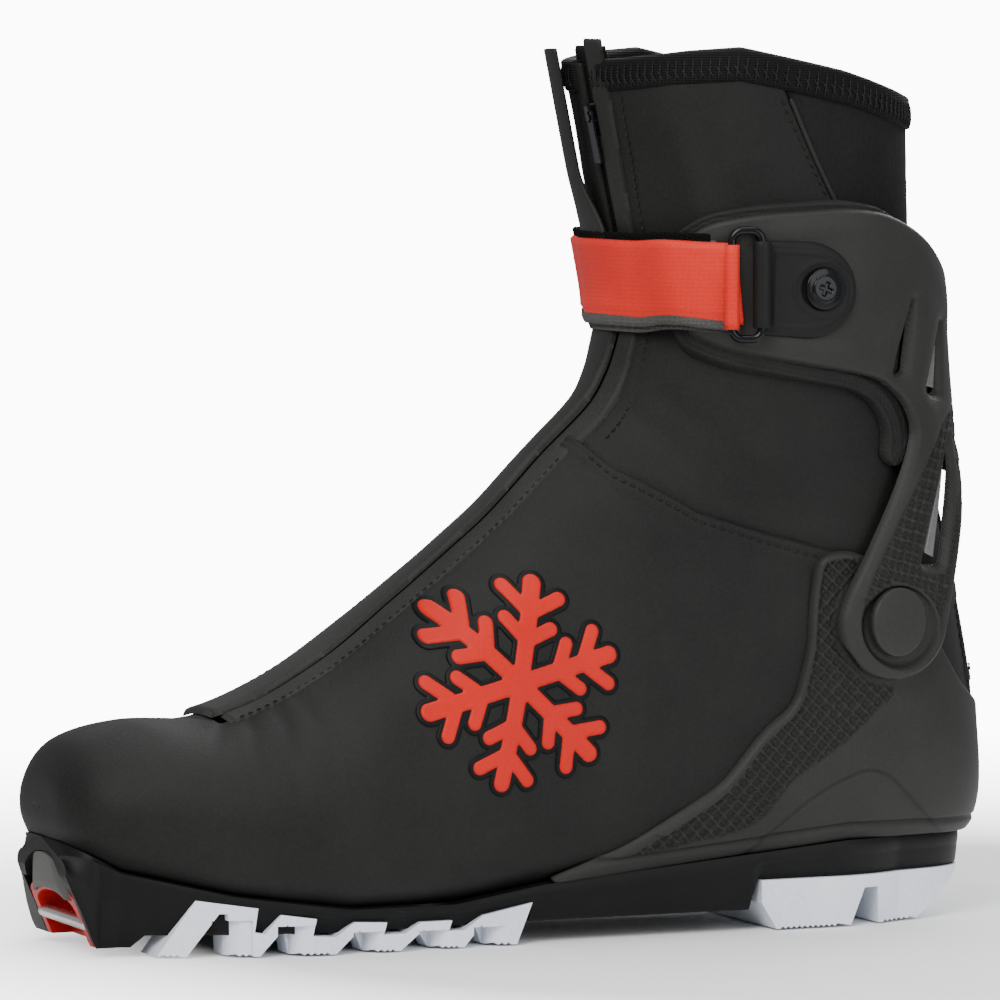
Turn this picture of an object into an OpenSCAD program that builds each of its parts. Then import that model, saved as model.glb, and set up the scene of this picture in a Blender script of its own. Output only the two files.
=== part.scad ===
// Cross country skate boot, left foot. Millimetres.
// +X runs from heel to toe, +Y to the outer side of the foot, +Z up.
// The origin lies on the ground, under the middle of the heel tread.

/* [Upper] */
// Thickness of the soft outer upper
upper_wall = 2; // [1.6:0.1:2]
// Thickness of the padded lining
lining_wall = 2.2; // [1.5:0.1:2.4]
// Width added to every section of the last, each side
extra_width = 0; // [-1:0.5:2]

/* [Heel shell and cuff] */
// Thickness of the moulded heel shell
shell_wall = 1.8; // [1.4:0.1:2]
// Thickness of the cuff wings and arms
cuff_wall = 3; // [2.4:0.1:3.6]
// Radius of the shaft of each pivot rivet
pivot_r = 4; // [3:0.5:4.5]
// Radius of the round cap over each pivot
cap_r = 10.5; // [9:0.5:11]

/* [Sole] */
// Diameter of the steel toe bar
bar_d = 4; // [3.6:0.1:4.4]
// Length of the toe bar that lies open between its cheeks
bar_gap = 30; // [28:1:32]
// Depth of the forefoot lugs in from the side of the sole
lug_depth = 14; // [10:1:18]

/* [Strap] */
// Height of the red face of the power strap
strap_h = 26; // [22:1:28]
// Thickness of one layer of the strap
strap_t = 1.6; // [1.2:0.1:1.8]
// Diameter of the wire of the strap ring
wire_d = 2.5; // [2:0.1:2.8]

/* [Hidden] */
$fn = 48;
gap = 0.3;

// ---- The last: one row per section, toe to collar -------------------------------------
// Each row: upper end x z, lower end x z, half width, sideways shift,
// roundness of the upper half, roundness of the lower half, share of length above the widest place
LAST = [
    [249, 46, 249, 38, 8, -7, 2.0, 2.0, 0.50],
    [246.5, 55, 246.5, 30, 23, -6, 2.0, 2.4, 0.56],
    [239, 62, 239, 24, 33, -6, 2.1, 3.0, 0.58],
    [221, 66, 221, 18, 41, -6, 2.2, 3.4, 0.58],
    [197, 67, 198, 13, 46, -3, 2.2, 3.6, 0.60],
    [170, 80, 170, 9, 48, 0, 2.1, 3.6, 0.62],
    [142, 101, 138, 9, 46, 1, 2.0, 3.6, 0.64],
    [114, 124, 95, 14, 42, 2, 2.0, 3.6, 0.62],
    [94, 144, 40, 19, 39, 2, 2.0, 3.6, 0.60],
    [80, 157, -14, 21, 38, 1, 2.1, 3.2, 0.54],
    [74, 166, -44, 28, 38, 0, 2.2, 2.6, 0.47],
    [71, 174, -47, 60, 39, 0, 2.2, 2.3, 0.42],
    [69, 182, -42, 95, 39, 0, 2.2, 2.1, 0.42],
    [68, 190, -34, 130, 40, 0, 2.2, 2.1, 0.44],
    [70, 205, -28, 170, 41, 0, 2.2, 2.1, 0.46],
    [75, 230, -25, 215, 42, 0, 2.2, 2.1, 0.48],
    [82.6, 268, -24, 262, 43, 0, 2.2, 2.1, 0.50]
];
LAST_END = len(LAST) - 1;

function last_row(i) =
    i < 0 ? 2 * LAST[0] - LAST[1] :
    i > LAST_END ? 2 * LAST[LAST_END] - LAST[LAST_END - 1] : LAST[i];

// Catmull-Rom curve through the rows
function section(t) =
    let (i = min(max(floor(t), 0), LAST_END - 1), u = t - i,
         a = last_row(i - 1), b = last_row(i), c = last_row(i + 1), d = last_row(i + 2))
    0.5 * (2 * b + (c - a) * u + (2 * a - 5 * b + 4 * c - d) * u * u
           + (3 * b - a - 3 * c + d) * u * u * u);

// Point of the upper at section t and girth v, moved out by off.
// v is 0 on the instep, 0.5 on the outer side, 1 under the foot and 1.5 on the inner side.
function skin(t, v, off) =
    let (s = section(t), w = v > 1 ? v - 2 : v, up = cos(180 * w) > 0,
         c = abs(cos(180 * w)), r = 2 / (up ? s[6] : s[7]), cc = pow(c, r),
         ss = pow(abs(sin(180 * w)), r),
         dx = s[2] - s[0], dz = s[3] - s[1], run = norm([dx, dz]),
         q = (up ? s[8] * (1 - cc) : s[8] + (1 - s[8]) * cc) + (up ? -cc : cc) * off / run,
         nose = off * pow(max(0, 1 - t / 1.5), 2))
    [s[0] + q * dx + nose, s[5] + (w < 0 ? -1 : 1) * (s[4] + extra_width + off) * ss, s[1] + q * dz];

// Section where girth v crosses the side-view line of [x, z] points, between sections lo and hi
function cross_t(v, line, lo, hi, n = 14) =
    let (mid = (lo + hi) / 2, p = skin(mid, v, 0))
    n == 0 ? mid :
    p[2] > lookup(p[0], line) ? cross_t(v, line, lo, mid, n - 1) : cross_t(v, line, mid, hi, n - 1);

// Girth where section t crosses a side-view line, on the outer side
function cross_v(t, line, lo, hi, n = 14) =
    let (mid = (lo + hi) / 2, p = skin(t, mid, 0))
    n == 0 ? mid :
    p[2] < lookup(p[0], line) ? cross_v(t, line, mid, hi, n - 1) : cross_v(t, line, lo, mid, n - 1);

function level(z) = [[-100, z], [300, z]];
function smooth(lo, hi, x) =
    let (u = min(max((x - lo) / (hi - lo), 0), 1)) u * u * (3 - 2 * u);
function side_v(v) = v > 1 ? 2 - v : v;
function flatten(l) = [for (a = l) for (b = a) b];

// ---- Side-view lines, [x, z] with x rising ---------------------------------------------
// Where the sole meets the upper
FEATHER = [[-60, 26], [6, 26.5], [54, 22.5], [106, 18], [135, 13.5], [168, 13.5], [202, 18],
           [233, 25], [248, 33.5], [256, 37]];
// Seam of the foot panel over the ankle
ANKLE_SEAM = [[-60, 98], [15, 114], [36, 120], [55, 126], [67, 133], [79, 139.5], [87, 148], [110, 160]];
// Lower edge of the collar, clear of the foot panel when the cuff flexes
COLLAR_FOOT = [[-60, 112], [15, 128], [40, 150], [70, 180], [110, 192]];
// Rim of the collar
RIM = [[-30, 245], [-16, 247], [10, 254], [30, 258], [45, 261], [60, 260], [90, 256]];
RIM_LIFT = 3;

// ---- Solid between two grids of points --------------------------------------------------
// Rows below closed join their last column to the first; tip leaves out the end wall of row 0
module skin_solid(outer, inner, closed = 0, tip = false) {
    rows = len(outer);
    cols = len(outer[0]);
    in0 = rows * cols;
    id = function (i, j) (j == cols - 1 && i < closed) ? i * cols : i * cols + j;
    quad = function (a, b, c, d) [[a, b, c], [a, c, d]];
    faces = concat(
        [for (i = [0:rows - 2]) for (j = [0:cols - 2])
            each quad(id(i, j), id(i + 1, j), id(i + 1, j + 1), id(i, j + 1))],
        [for (i = [0:rows - 2]) for (j = [0:cols - 2])
            each quad(in0 + id(i, j), in0 + id(i, j + 1), in0 + id(i + 1, j + 1), in0 + id(i + 1, j))],
        tip ? [] : [for (j = [0:cols - 2])
            each quad(id(0, j), id(0, j + 1), in0 + id(0, j + 1), in0 + id(0, j))],
        [for (j = [0:cols - 2]) let (i = rows - 1)
            each quad(id(i, j + 1), id(i, j), in0 + id(i, j), in0 + id(i, j + 1))],
        [for (i = [0:rows - 2]) if (i + 1 >= closed)
            each quad(id(i + 1, 0), id(i, 0), in0 + id(i, 0), in0 + id(i + 1, 0))],
        [for (i = [0:rows - 2]) if (i + 1 >= closed)
            each quad(id(i, cols - 1), id(i + 1, cols - 1),
                      in0 + id(i + 1, cols - 1), in0 + id(i, cols - 1))]
    );
    polyhedron(concat(flatten(outer), flatten(inner)), faces);
}

// Grid of skin points; at(a, b) gives [section, girth] and off(t, v) the distance out
function skin_grid(rows, cols, at, off) =
    [for (i = [0:rows]) [for (j = [0:cols])
        let (p = at(i / rows, j / cols)) skin(p[0], p[1], off(p[0], p[1]))]];

// Grid closed to a point in front of its first row
function with_tip(grid) =
    let (row = grid[0], mid = (row[0] + row[floor(len(row) / 2)]) / 2)
    concat([[for (p = row) mid + [0.6, 0, 0]]], grid);

module layer(rows, cols, at, out, in, closed = 0, tip = false) {
    skin_solid(skin_grid(rows, cols, at, function (t, v) out),
               skin_grid(rows, cols, at, function (t, v) in), closed, tip);
}

// Patch between two side-view lines, girth from v0 to v1
function between(v0, v1, lo_line, hi_line, lo = 6, hi = 16.5) =
    function (a, b) let (v = v0 + (v1 - v0) * b, t0 = cross_t(v, lo_line, lo, hi),
                         t1 = cross_t(v, hi_line, lo, hi)) [t0 + (t1 - t0) * a, v];
// Patch of plain section and girth limits
function patch(t0, t1, v0, v1) = function (a, b) [t0 + (t1 - t0) * a, v0 + (v1 - v0) * b];
// A line moved up by d
function raised(line, d) = [for (p = line) [p[0], p[1] + d]];

// Side-view outline pushed right through the boot
module side_cut(points, half = 80) {
    rotate([90, 0, 0]) linear_extrude(2 * half, center = true) polygon(points);
}

// ---- Layers, distances out from the last ------------------------------------------------
upper_in = -upper_wall;
board_out = upper_in - gap;
board_in = board_out - 0.5;
lining_out = board_in - gap;
lining_in = lining_out - lining_wall;
shell_in = 0.4;
shell_out = shell_in + shell_wall;
cuff_in = 4.2;
cuff_out = cuff_in + cuff_wall;
spine_lift = 3.4;

// Instep slit that the zip closes
SLIT_T = 4.1;
SLIT_OUT = 0.075;
SLIT_IN = 1.975;
TONGUE_V = 0.155;
bar_x = 242;
bar_z = 9.5;
pivot = [-5, 92];

// ---- Sole --------------------------------------------------------------------------------
SOLE_T = [0.55, 9.92];
SOLE_ROWS = 26;
SOLE_COLS = 12;
rand_out = 1.8;
nose_push = 1.5;
// Least reach of the sole to each side at the toe
nose_half = 24;
// Least half width of the sole, as a share of the last's half width
edge_share = 0.84;
// Underside of the carrier
SOLE_BOTTOM = [[-60, 15], [35, 15], [35.5, 6], [226, 6], [230, 2.5], [240.5, 2.5],
               [245, 13], [248, 20], [251, 28]];

function sole_t(a) = SOLE_T[0] + (SOLE_T[1] - SOLE_T[0]) * (a < 0.2 ? a * a * 5 / 2 + a / 2 : a);
function feather_v(t) = min(cross_v(t, FEATHER, 1, 0.5), 0.985);
function under_v(t, b) = let (f = feather_v(t)) f + (2 - 2 * f) * b;
function rim_point(t, side) =
    let (f = feather_v(t), s = section(t), p = skin(t, side > 0 ? f : 2 - f, rand_out),
         reach = max(abs(p[1] - s[5]), edge_share * s[4] * smooth(10.2, 8.6, t)),
         wide = nose_half * smooth(3.4, 1.8, t) * (0.86 + 0.14 * smooth(0.5, 1.4, t)))
    [p[0] + nose_push * pow(max(0, 1 - t / 2), 2), side * max(side * s[5] + reach, wide), p[2]];
function sole_top(t) = concat([rim_point(t, 1)],
    [for (j = [0:SOLE_COLS]) skin(t, under_v(t, j / SOLE_COLS), 0.4)], [rim_point(t, -1)]);
function drop(p, keep) = [p[0], p[1] * keep, min(lookup(p[0], SOLE_BOTTOM), p[2] - 1)];
// Plan outline of the sole between two sections, drawn in by inset
EDGE_STEPS = 14;
function edge_t(span, i) = span[0] + (span[1] - span[0]) * i / EDGE_STEPS;
function sole_edge(inset, span) = concat(
    [for (i = [0:EDGE_STEPS]) let (p = rim_point(edge_t(span, i), 1)) [p[0], p[1] - inset]],
    [for (i = [EDGE_STEPS:-1:0]) let (p = rim_point(edge_t(span, i), -1)) [p[0], p[1] + inset]]);
FORE_SPAN = [1.9, 7.2];
HEEL_SPAN = [7.2, 9.8];

// Side view of the forefoot lugs: top edge toe to arch, then the lugs back to the toe
LUG_TOP = [[213.5, 16.5], [196, 14], [197, 7], [194, 6.5], [189.5, 12], [179, 10.5], [180, 5.5],
           [173, 5], [167, 9], [157, 8.5], [158, 5], [151, 5], [146, 8], [136, 8], [137, 5],
           [132, 5], [126, 9], [110, 12]];
LUG_FOOT = [[115, 0], [124, 0], [126.5, 6.3], [132, 0], [141.5, 0], [145, 5.8], [152.5, 0],
            [162.5, 0], [165.5, 6.6], [173, 0], [185.5, 0], [187.5, 9.3], [195.5, 0], [204, 0],
            [204.5, 12.5], [207, 12.5], [216, 0], [224, 0]];

module carrier_body() {
    top = [for (i = [0:SOLE_ROWS]) sole_top(sole_t(i / SOLE_ROWS))];
    skin_solid([for (row = top) [for (p = row) drop(p, 0.94)]], top);
}

module outsole_carrier() {
    color("#222323")
    difference() {
        carrier_body();
        // flat seats of the heel lug and of the forefoot tread
        translate([-60, -50, -1]) cube([95.2, 100, 16]);
        translate([109.8, -60, -1]) cube([114.4, 120, 7]);
        // binding slot
        translate([231.9, -21.1, -1]) cube([30, 42.2, 21.2]);
        // seat of the toe bumper
        translate([245.9, -30, -1]) cube([20, 60, 31.2]);
        // side grooves for the white tread
        intersection() {
            side_cut(concat([for (p = LUG_TOP) p + [0, 0.1]], [[110, -1], [224, -1]]));
            difference() {
                linear_extrude(30) polygon(sole_edge(-6, FORE_SPAN));
                translate([0, 0, -1]) linear_extrude(32)
                    polygon(sole_edge(band_deep + 0.1, FORE_SPAN + [-0.1, 0.1]));
            }
        }
    }
}

band_deep = 3;
tread_top = 5.9;
module forefoot_lugs() {
    color("#dfe3ea")
    difference() {
        intersection() {
            side_cut(concat(LUG_TOP, LUG_FOOT));
            linear_extrude(30) polygon(sole_edge(0.4, FORE_SPAN));
        }
        translate([0, 0, -1]) linear_extrude(tread_top + 1)
            polygon(sole_edge(lug_depth, FORE_SPAN + [-0.1, 0.1]));
        translate([0, 0, tread_top]) linear_extrude(30)
            polygon(sole_edge(band_deep, FORE_SPAN + [-0.1, 0.1]));
    }
}

HEEL_SIDE = [[34, 14.8], [34, 8], [29, 0], [4, 0], [-1, 11], [-6, 11], [-6.5, 0], [-22, 0],
             [-42, 14.8]];
module heel_lug() {
    color("#dfe3ea")
    intersection() {
        union() {
            side_cut(HEEL_SIDE);
            // bridge across the middle of the groove
            translate([-10, -9, 0]) cube([20, 18, 12]);
        }
        linear_extrude(30) polygon(sole_edge(1.5, HEEL_SPAN));
    }
}

// Nose profile seen from the side: the front of the sole leans back towards the ground
NOSE_SIDE = [[200, 40], [249, 36], [249, 28], [248, 20], [245.5, 13], [241, 2.6], [200, 2.6]];
module toe_insert() {
    color("#c8140f")
    difference() {
        intersection() {
            translate([232.2, -20.8, 2.7]) cube([30, 41.6, 17.3]);
            side_cut(NOSE_SIDE);
            translate([225, -30, 0]) cube([20.6, 60, 40]);
        }
        translate([234.2, -bar_gap / 2 - 2, 0]) cube([30, bar_gap + 4, 17.5]);
        translate([bar_x, 0, bar_z]) rotate([90, 0, 0])
            cylinder(r = bar_d / 2 + 0.02, h = 60, center = true);
    }
}

module toe_bumper() {
    color("#7e7d79")
    intersection() {
        translate([246.1, 0, 16]) rotate([90, 0, 90]) linear_extrude(4)
            difference() {
                scale([26.8, 13.2]) circle(r = 1, $fn = 96);
                translate([-40, -40]) square([80, 42.2]);
            }
        translate([206, 0, 0]) cylinder(r = 44, h = 40, $fn = 96);
    }
}

module toe_bar() {
    color("#d5cecb") translate([bar_x, 0, bar_z]) rotate([90, 0, 0])
        cylinder(r = bar_d / 2, h = bar_gap + 10, center = true);
}

// ---- Inside the foot ---------------------------------------------------------------------
module insole_board() {
    color("#8a7a60")
    layer(18, 6, function (a, b) [1.2 + 7.5 * a, 0.84 + 0.32 * b], board_out, board_in);
}
module shank() {
    color("#3a3a3d") layer(8, 4, patch(6.4, 8.9, 0.9, 1.1), lining_in - 0.6, lining_in - 1.4);
}
module footbed() {
    color("#a01c1c") layer(18, 8, patch(1.3, 9.3, 0.86, 1.14), lining_in - 1.8, lining_in - 4.6);
}

// Sock-like skin of the foot with the instep slit
module foot_skin(rows, cols, out, in, slit_out, slit_in, slit_t, top_drop) {
    top = raised(ANKLE_SEAM, -top_drop);
    slit_row = round(rows * slit_t / 8.3);
    at = function (a, b)
        let (open = a * rows > slit_row ? 1 : 0, v0 = slit_out * open, v1 = 2 + (slit_in - 2) * open,
             v = v0 + (v1 - v0) * b, vs = min(max(v, slit_out), slit_in))
        [cross_t(vs, top, 7, 13) * a, open ? v : 2 * b];
    skin_solid(with_tip(skin_grid(rows, cols, at, function (t, v) out)),
               with_tip(skin_grid(rows, cols, at, function (t, v) in)), slit_row + 2, true);
}

module vamp() {
    color("#3b3c39") foot_skin(24, 36, 0, upper_in, SLIT_OUT, SLIT_IN, SLIT_T, 0);
}
module foot_lining() {
    color("#2b2b2c") foot_skin(16, 26, lining_out, lining_in, 0.19, 1.81, 4.1, 3);
}
module toe_puff() {
    color("#6b6258") layer(6, 12, patch(0.6, 2.8, -0.7, 0.7), board_out, board_in);
}
module heel_counter() {
    color("#6b6258") layer(10, 22, patch(8.9, 11.4, 0.56, 1.44), board_out - 0.15, board_in);
}
module tongue() {
    color("#2b2b2c")
    layer(14, 6, patch(4.8, 7.9, -TONGUE_V, TONGUE_V), lining_out - 1.8, lining_out - 4.4);
}

LACE_T = [5.1, 5.7, 6.3, 6.9, 7.5];
LACE_V = 0.138;
lace_off = lining_out - 0.8;
lace_r = 0.7;
module lace_loops() {
    color("#1d1d1e")
    for (t = LACE_T) for (s = [-1, 1])
        layer(2, 2, patch(t - 0.1, t + 0.1, s * LACE_V - 0.02, s * LACE_V + 0.02),
              lace_off + 0.75, lace_off - 0.75);
}
// Lace route: across the instep from loop to loop
function lace_route() = [for (i = [0:len(LACE_T) - 1]) let (s = i % 2 == 0 ? 1 : -1)
    each [for (k = [-1, -0.6, -0.2, 0.2, 0.6, 1]) skin(LACE_T[i] + 0.06 * k, s * k * LACE_V, lace_off)]];
function tube_rings(route, r, sides) = [for (i = [0:len(route) - 1])
    let (p = route[i], q = route[min(i + 1, len(route) - 1)], o = route[max(i - 1, 0)],
         dir = (q - o) / norm(q - o), side = cross(dir, [0, 0, 1]), sn = side / norm(side),
         up = cross(sn, dir))
    [for (k = [0:sides - 1]) p + r * (cos(360 * k / sides) * sn + sin(360 * k / sides) * up)]];
module speed_lace() {
    sides = 6;
    rings = tube_rings(lace_route(), lace_r, sides);
    n = len(rings);
    color("#b5332a")
    polyhedron(flatten(rings), concat(
        [[for (k = [0:sides - 1]) k]],
        [for (i = [0:n - 2]) for (k = [0:sides - 1]) let (m = (k + 1) % sides)
            each [[i * sides + k, (i + 1) * sides + k, (i + 1) * sides + m],
                  [i * sides + k, (i + 1) * sides + m, i * sides + m]]],
        [[for (k = [sides - 1:-1:0]) (n - 1) * sides + k]]));
}
module lace_lock() {
    color("#1d1d1e") layer(2, 4, patch(7.82, 8.02, -0.06, 0.06), lace_off + 0.7, lace_off - 0.75);
}

// ---- Zip: foot part on the vamp, shaft part on the collar ---------------------------------
COIL_V = [0.028, 0.056];
TAPE_V = [-0.04, 0.12];
FLAP_V = [-0.11, 0.026];
WELT_V = [0.068, 0.115];
ZIP_GAP_T = [8.2, 13.05];
ZIP_TOP_T = 15.72;
FLAP_FOLD_T = 14.75;

module zip_tape_foot() {
    color("#181818")
    layer(14, 4, patch(4.6, ZIP_GAP_T[0], TAPE_V[0], TAPE_V[1]), board_out - 0.05, board_in - 0.05);
}
module zip_tape_shaft() {
    color("#181818")
    layer(6, 4, patch(ZIP_GAP_T[1] + 0.2, ZIP_TOP_T, TAPE_V[0], TAPE_V[1]), board_out - 0.05, board_in);
}
module zip_coil_foot() {
    color("#101010") layer(14, 2, patch(4.5, ZIP_GAP_T[0], COIL_V[0], COIL_V[1]), -0.7, board_out + 0.15);
}
module zip_coil_shaft() {
    color("#101010")
    layer(6, 2, patch(ZIP_GAP_T[1] + 0.2, ZIP_TOP_T, COIL_V[0], COIL_V[1]), -0.7, board_out + 0.15);
}
module zip_flap_foot() {
    color("#3f403d") layer(16, 4, patch(3.95, ZIP_GAP_T[0], FLAP_V[0], FLAP_V[1]), 2.6, 1.5);
}
module zip_flap_shaft() {
    lift = function (t) 2.2 * smooth(FLAP_FOLD_T - 0.3, FLAP_FOLD_T + 0.3, t);
    at = function (a, b)
        let (t = ZIP_GAP_T[1] + 0.2 + (ZIP_TOP_T + 0.2 - ZIP_GAP_T[1] - 0.2) * a,
             back = smooth(FLAP_FOLD_T - 0.3, FLAP_FOLD_T + 0.3, t))
        [t, FLAP_V[0] + (FLAP_V[1] - 0.05 * back - FLAP_V[0]) * b];
    color("#5c5d58")
    skin_solid(skin_grid(10, 4, at, function (t, v) 2.6 + lift(t)),
               skin_grid(10, 4, at, function (t, v) 1.5 + lift(t)));
}
module zip_welt_foot() {
    color("#3f403d") layer(16, 2, patch(4.1, ZIP_GAP_T[0], WELT_V[0], WELT_V[1]), 0.9, 0.1);
}
module zip_welt_shaft() {
    color("#3f403d") layer(6, 2, patch(ZIP_GAP_T[1] + 0.2, ZIP_TOP_T, WELT_V[0], WELT_V[1]), 0.9, 0.1);
}

// The shaft part of the zip runs straight along this direction
zip_foot = skin(14.1, 0.042, 0);
zip_head = skin(15.9, 0.042, 0);
zip_dir = (zip_head - zip_foot) / norm(zip_head - zip_foot);
zip_lean = atan2(zip_dir[0], zip_dir[2]);
slider_z = 242;
slider_at = zip_foot + zip_dir * (slider_z - zip_foot[2]) / zip_dir[2];
module on_zip() {
    translate(slider_at) rotate([0, zip_lean, 0]) children();
}
module zip_slider() {
    color("#2a2a2c") on_zip() {
        difference() {
            translate([-1.4, -3.4, -5]) cube([2.1, 6.8, 10]);
            translate([-3, -2.6, -6]) cube([2.7, 5.2, 12]);
        }
        // bridge that holds the pull
        difference() {
            translate([0.7, -0.9, 0]) cube([2, 1.8, 4.4]);
            translate([1.6, -2, 2.2]) rotate([-90, 0, 0]) cylinder(r = 0.75, h = 4, $fn = 24);
        }
    }
}
module zip_pull() {
    color("#1c1c1e") on_zip() {
        translate([1.6, -1.9, 2.2]) rotate([-90, 0, 0]) cylinder(r = 0.7, h = 3.8, $fn = 24);
        difference() {
            translate([1.2, -1.9, -13]) cube([0.8, 3.8, 15.2]);
            translate([0, -1.1, -0.6]) cube([3, 2.2, 6]);
        }
    }
}

// ---- Ankle and collar ----------------------------------------------------------------------
module ankle_gusset() {
    color("#333431")
    layer(6, 34, between(SLIT_OUT, SLIT_IN, raised(ANKLE_SEAM, 0.4), raised(COLLAR_FOOT, -0.6), 7, 15),
          0, upper_in);
}
// Girth of the seam between a side panel and the stretch panel at the back
function rear_seam_v(t) = 0.47 + 0.39 * smooth(16.2, 12.4, t);
module collar_panel(side, v0) {
    at = function (a, b)
        let (ta = cross_t(v0 + (0.86 - v0) * b, COLLAR_FOOT, 10, 15),
             tb = cross_t(v0 + (0.47 - v0) * b, RIM, 13, 17),
             t = ta + (tb - ta) * a, v = v0 + (rear_seam_v(t) - 0.004 - v0) * b)
        [t, side > 0 ? v : 2 - v];
    if (side > 0) layer(9, 14, at, 0, upper_in);
    else mirror_grid(9, 14, at, 0, upper_in);
}
// Inner-side patches run the other way round, so their columns are reversed
module mirror_grid(rows, cols, at, out, in) {
    layer(rows, cols, function (a, b) at(a, 1 - b), out, in);
}
module collar_lateral() {
    color("#3b3c39") collar_panel(1, SLIT_OUT);
}
module collar_medial() {
    color("#3b3c39") collar_panel(-1, 2 - SLIT_IN);
}
module collar_rear() {
    at = function (a, b)
        let (ta = cross_t(0.86 + 0.28 * b, COLLAR_FOOT, 10, 15),
             tb = cross_t(0.47 + 1.06 * b, RIM, 13, 17.5),
             t = ta + (tb - ta) * a, s = rear_seam_v(t)) [t, s + (2 - 2 * s) * b];
    color("#2e2e2e") layer(9, 16, at, 0, upper_in);
}
module collar_binding() {
    color("#1c1c1c")
    layer(2, 40, between(SLIT_OUT, SLIT_IN, raised(RIM, 0.6), raised(RIM, RIM_LIFT), 13, 17.5),
          0.2, lining_in - 0.2);
}
module collar_lining() {
    color("#262627")
    layer(6, 30, between(0.0, 2.0, raised(COLLAR_FOOT, 1), raised(RIM, -1), 10, 17),
          lining_out, lining_in, 99);
}

// ---- Heel shell ------------------------------------------------------------------------------
HEEL_OUTLINE = [[106, 18.4], [81, 28], [51, 45], [37, 61], [27, 68], [22, 85], [21, 99], [19, 112],
                [10, 114], [-8, 108], [-18, 95], [-24, 85], [-34, 72], [-44, 66], [-60, 65],
                [-60, 26.5], [6, 27], [54, 23]];
module heel_shell() {
    color("#5a5b58")
    difference() {
        intersection() {
            layer(18, 30, patch(6.4, 12.6, 0.3, 1.7), shell_out, shell_in);
            side_cut(HEEL_OUTLINE);
        }
        translate([pivot[0], 0, pivot[1]]) rotate([90, 0, 0])
            cylinder(r = pivot_r + 0.02, h = 120, center = true);
    }
}
pivot_y = skin(10.6, 0.58, 0)[1];
module both_sides() {
    for (s = [0, 1]) mirror([0, s, 0]) children();
}
module pivot_rivets() {
    color("#8c8e90") both_sides() translate([pivot[0], pivot_y + 0.9, pivot[1]]) rotate([-90, 0, 0])
        cylinder(r = pivot_r, h = cap_y - pivot_y - 2.6);
}
washer_y = pivot_y + shell_out + 1;
module pivot_washers() {
    color("#b8babc") both_sides() translate([pivot[0], washer_y, pivot[1]]) rotate([-90, 0, 0])
        difference() {
            cylinder(r = 7, h = 0.8);
            translate([0, 0, -1]) cylinder(r = pivot_r + 0.05, h = 3);
        }
}
module achilles_tab() {
    color("#3b3c39") layer(4, 16, between(0.84, 1.16, level(75), level(97), 9, 13), 1, 0.25);
}
module heel_pull() {
    color("#2c2c2c") layer(4, 4, between(0.95, 1.05, level(67), level(84), 9, 13), 2.7, 1.3);
}
module emblem() {
    color("#e92518") layer(8, 8, patch(5.6, 7.2, 0.24, 0.52), 0.5, 0.1);
}

// ---- Cuff ------------------------------------------------------------------------------------
CUFF_OUTLINE = [[58, 205], [52, 211], [40, 214], [14, 216], [1, 215], [-12, 209], [-26, 195],
                [-35, 181], [-60, 170], [-60, 144], [-33, 140], [-31, 135], [-28, 122], [-25, 107],
                [-20, 86], [-13, 78], [-3, 75], [7, 78], [13, 85], [14, 93], [11, 102], [5, 114],
                [-3, 129], [-8, 142], [-10, 151], [-7, 158], [1, 165], [10, 167], [47, 172], [56, 176]];
PAD_OUTLINE = [[61, 207], [54, 214], [40, 217], [14, 218.5], [-2, 216], [-20, 200], [-20, 150],
               [-6, 138], [-2, 141], [-3, 150], [2, 158], [10, 162], [48, 168], [59, 173]];
SLOT_FRONT = [[-9, 190], [-2, 167], [-6, 167]];
SLOT_MID = [[-20, 184], [-14, 162], [-19, 161]];
SLOT_LONG = [[-24, 152], [-13, 110], [-20, 110], [-25, 140]];
function rear_lift(v) = spine_lift * smooth(0.6, 0.9, side_v(v));
module cuff_body(out, in) {
    at = patch(9.8, 14.95, 0.27, 1.73);
    skin_solid(skin_grid(18, 36, at, function (t, v) out + rear_lift(v)),
               skin_grid(18, 36, at, function (t, v) in + rear_lift(v)));
}
cap_tilt = 16;
cap_y = pivot_y + cuff_out - 0.6;
module at_cap() {
    translate([pivot[0], cap_y, pivot[1]]) rotate([-90, 0, cap_tilt]) children();
}
module cuff_shell() {
    color("#565652")
    difference() {
        intersection() {
            cuff_body(cuff_out, cuff_in);
            side_cut(CUFF_OUTLINE);
        }
        for (slot = [SLOT_FRONT, SLOT_MID, SLOT_LONG]) side_cut(slot);
        translate([pivot[0], 0, pivot[1]]) rotate([90, 0, 0])
            cylinder(r = pivot_r + 0.05, h = 140, center = true);
        translate([pivot[0], 0, pivot[1]]) rotate([90, 0, 0])
            cylinder(r = 7.5, h = 2 * (washer_y + 0.9), center = true);
        both_sides() at_cap() cylinder(r = cap_r + 1, h = 12);
    }
}
module pivot_caps() {
    color("#5c5d5a") both_sides() at_cap() translate([0, 0, 0.1]) {
        cylinder(r = cap_r, h = 2);
        translate([0, 0, 2]) cylinder(r1 = cap_r, r2 = cap_r - 1.2, h = 0.7, $fn = 48);
    }
}
module cuff_pad() {
    at = patch(11.2, 15.1, 0.25, 1.75);
    color("#3a3a39")
    intersection() {
        skin_solid(skin_grid(10, 30, at, function (t, v) cuff_in - gap + rear_lift(v) * 0.3),
                   skin_grid(10, 30, at, function (t, v) 0.5));
        side_cut(PAD_OUTLINE);
    }
}
module reflective_inlays() {
    at = patch(10.6, 14.2, 0.55, 0.78);
    color("#b4b4ae") both_sides()
    intersection() {
        skin_solid(skin_grid(8, 5, at, function (t, v) cuff_in + 1.4 + rear_lift(v)),
                   skin_grid(8, 5, at, function (t, v) cuff_in + 0.8 + rear_lift(v)));
        union() {
            side_cut([[-20, 182], [-15, 164], [-18, 163.5]]);
            side_cut([[-23, 148], [-14.5, 114], [-18, 112]]);
        }
    }
}

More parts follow.
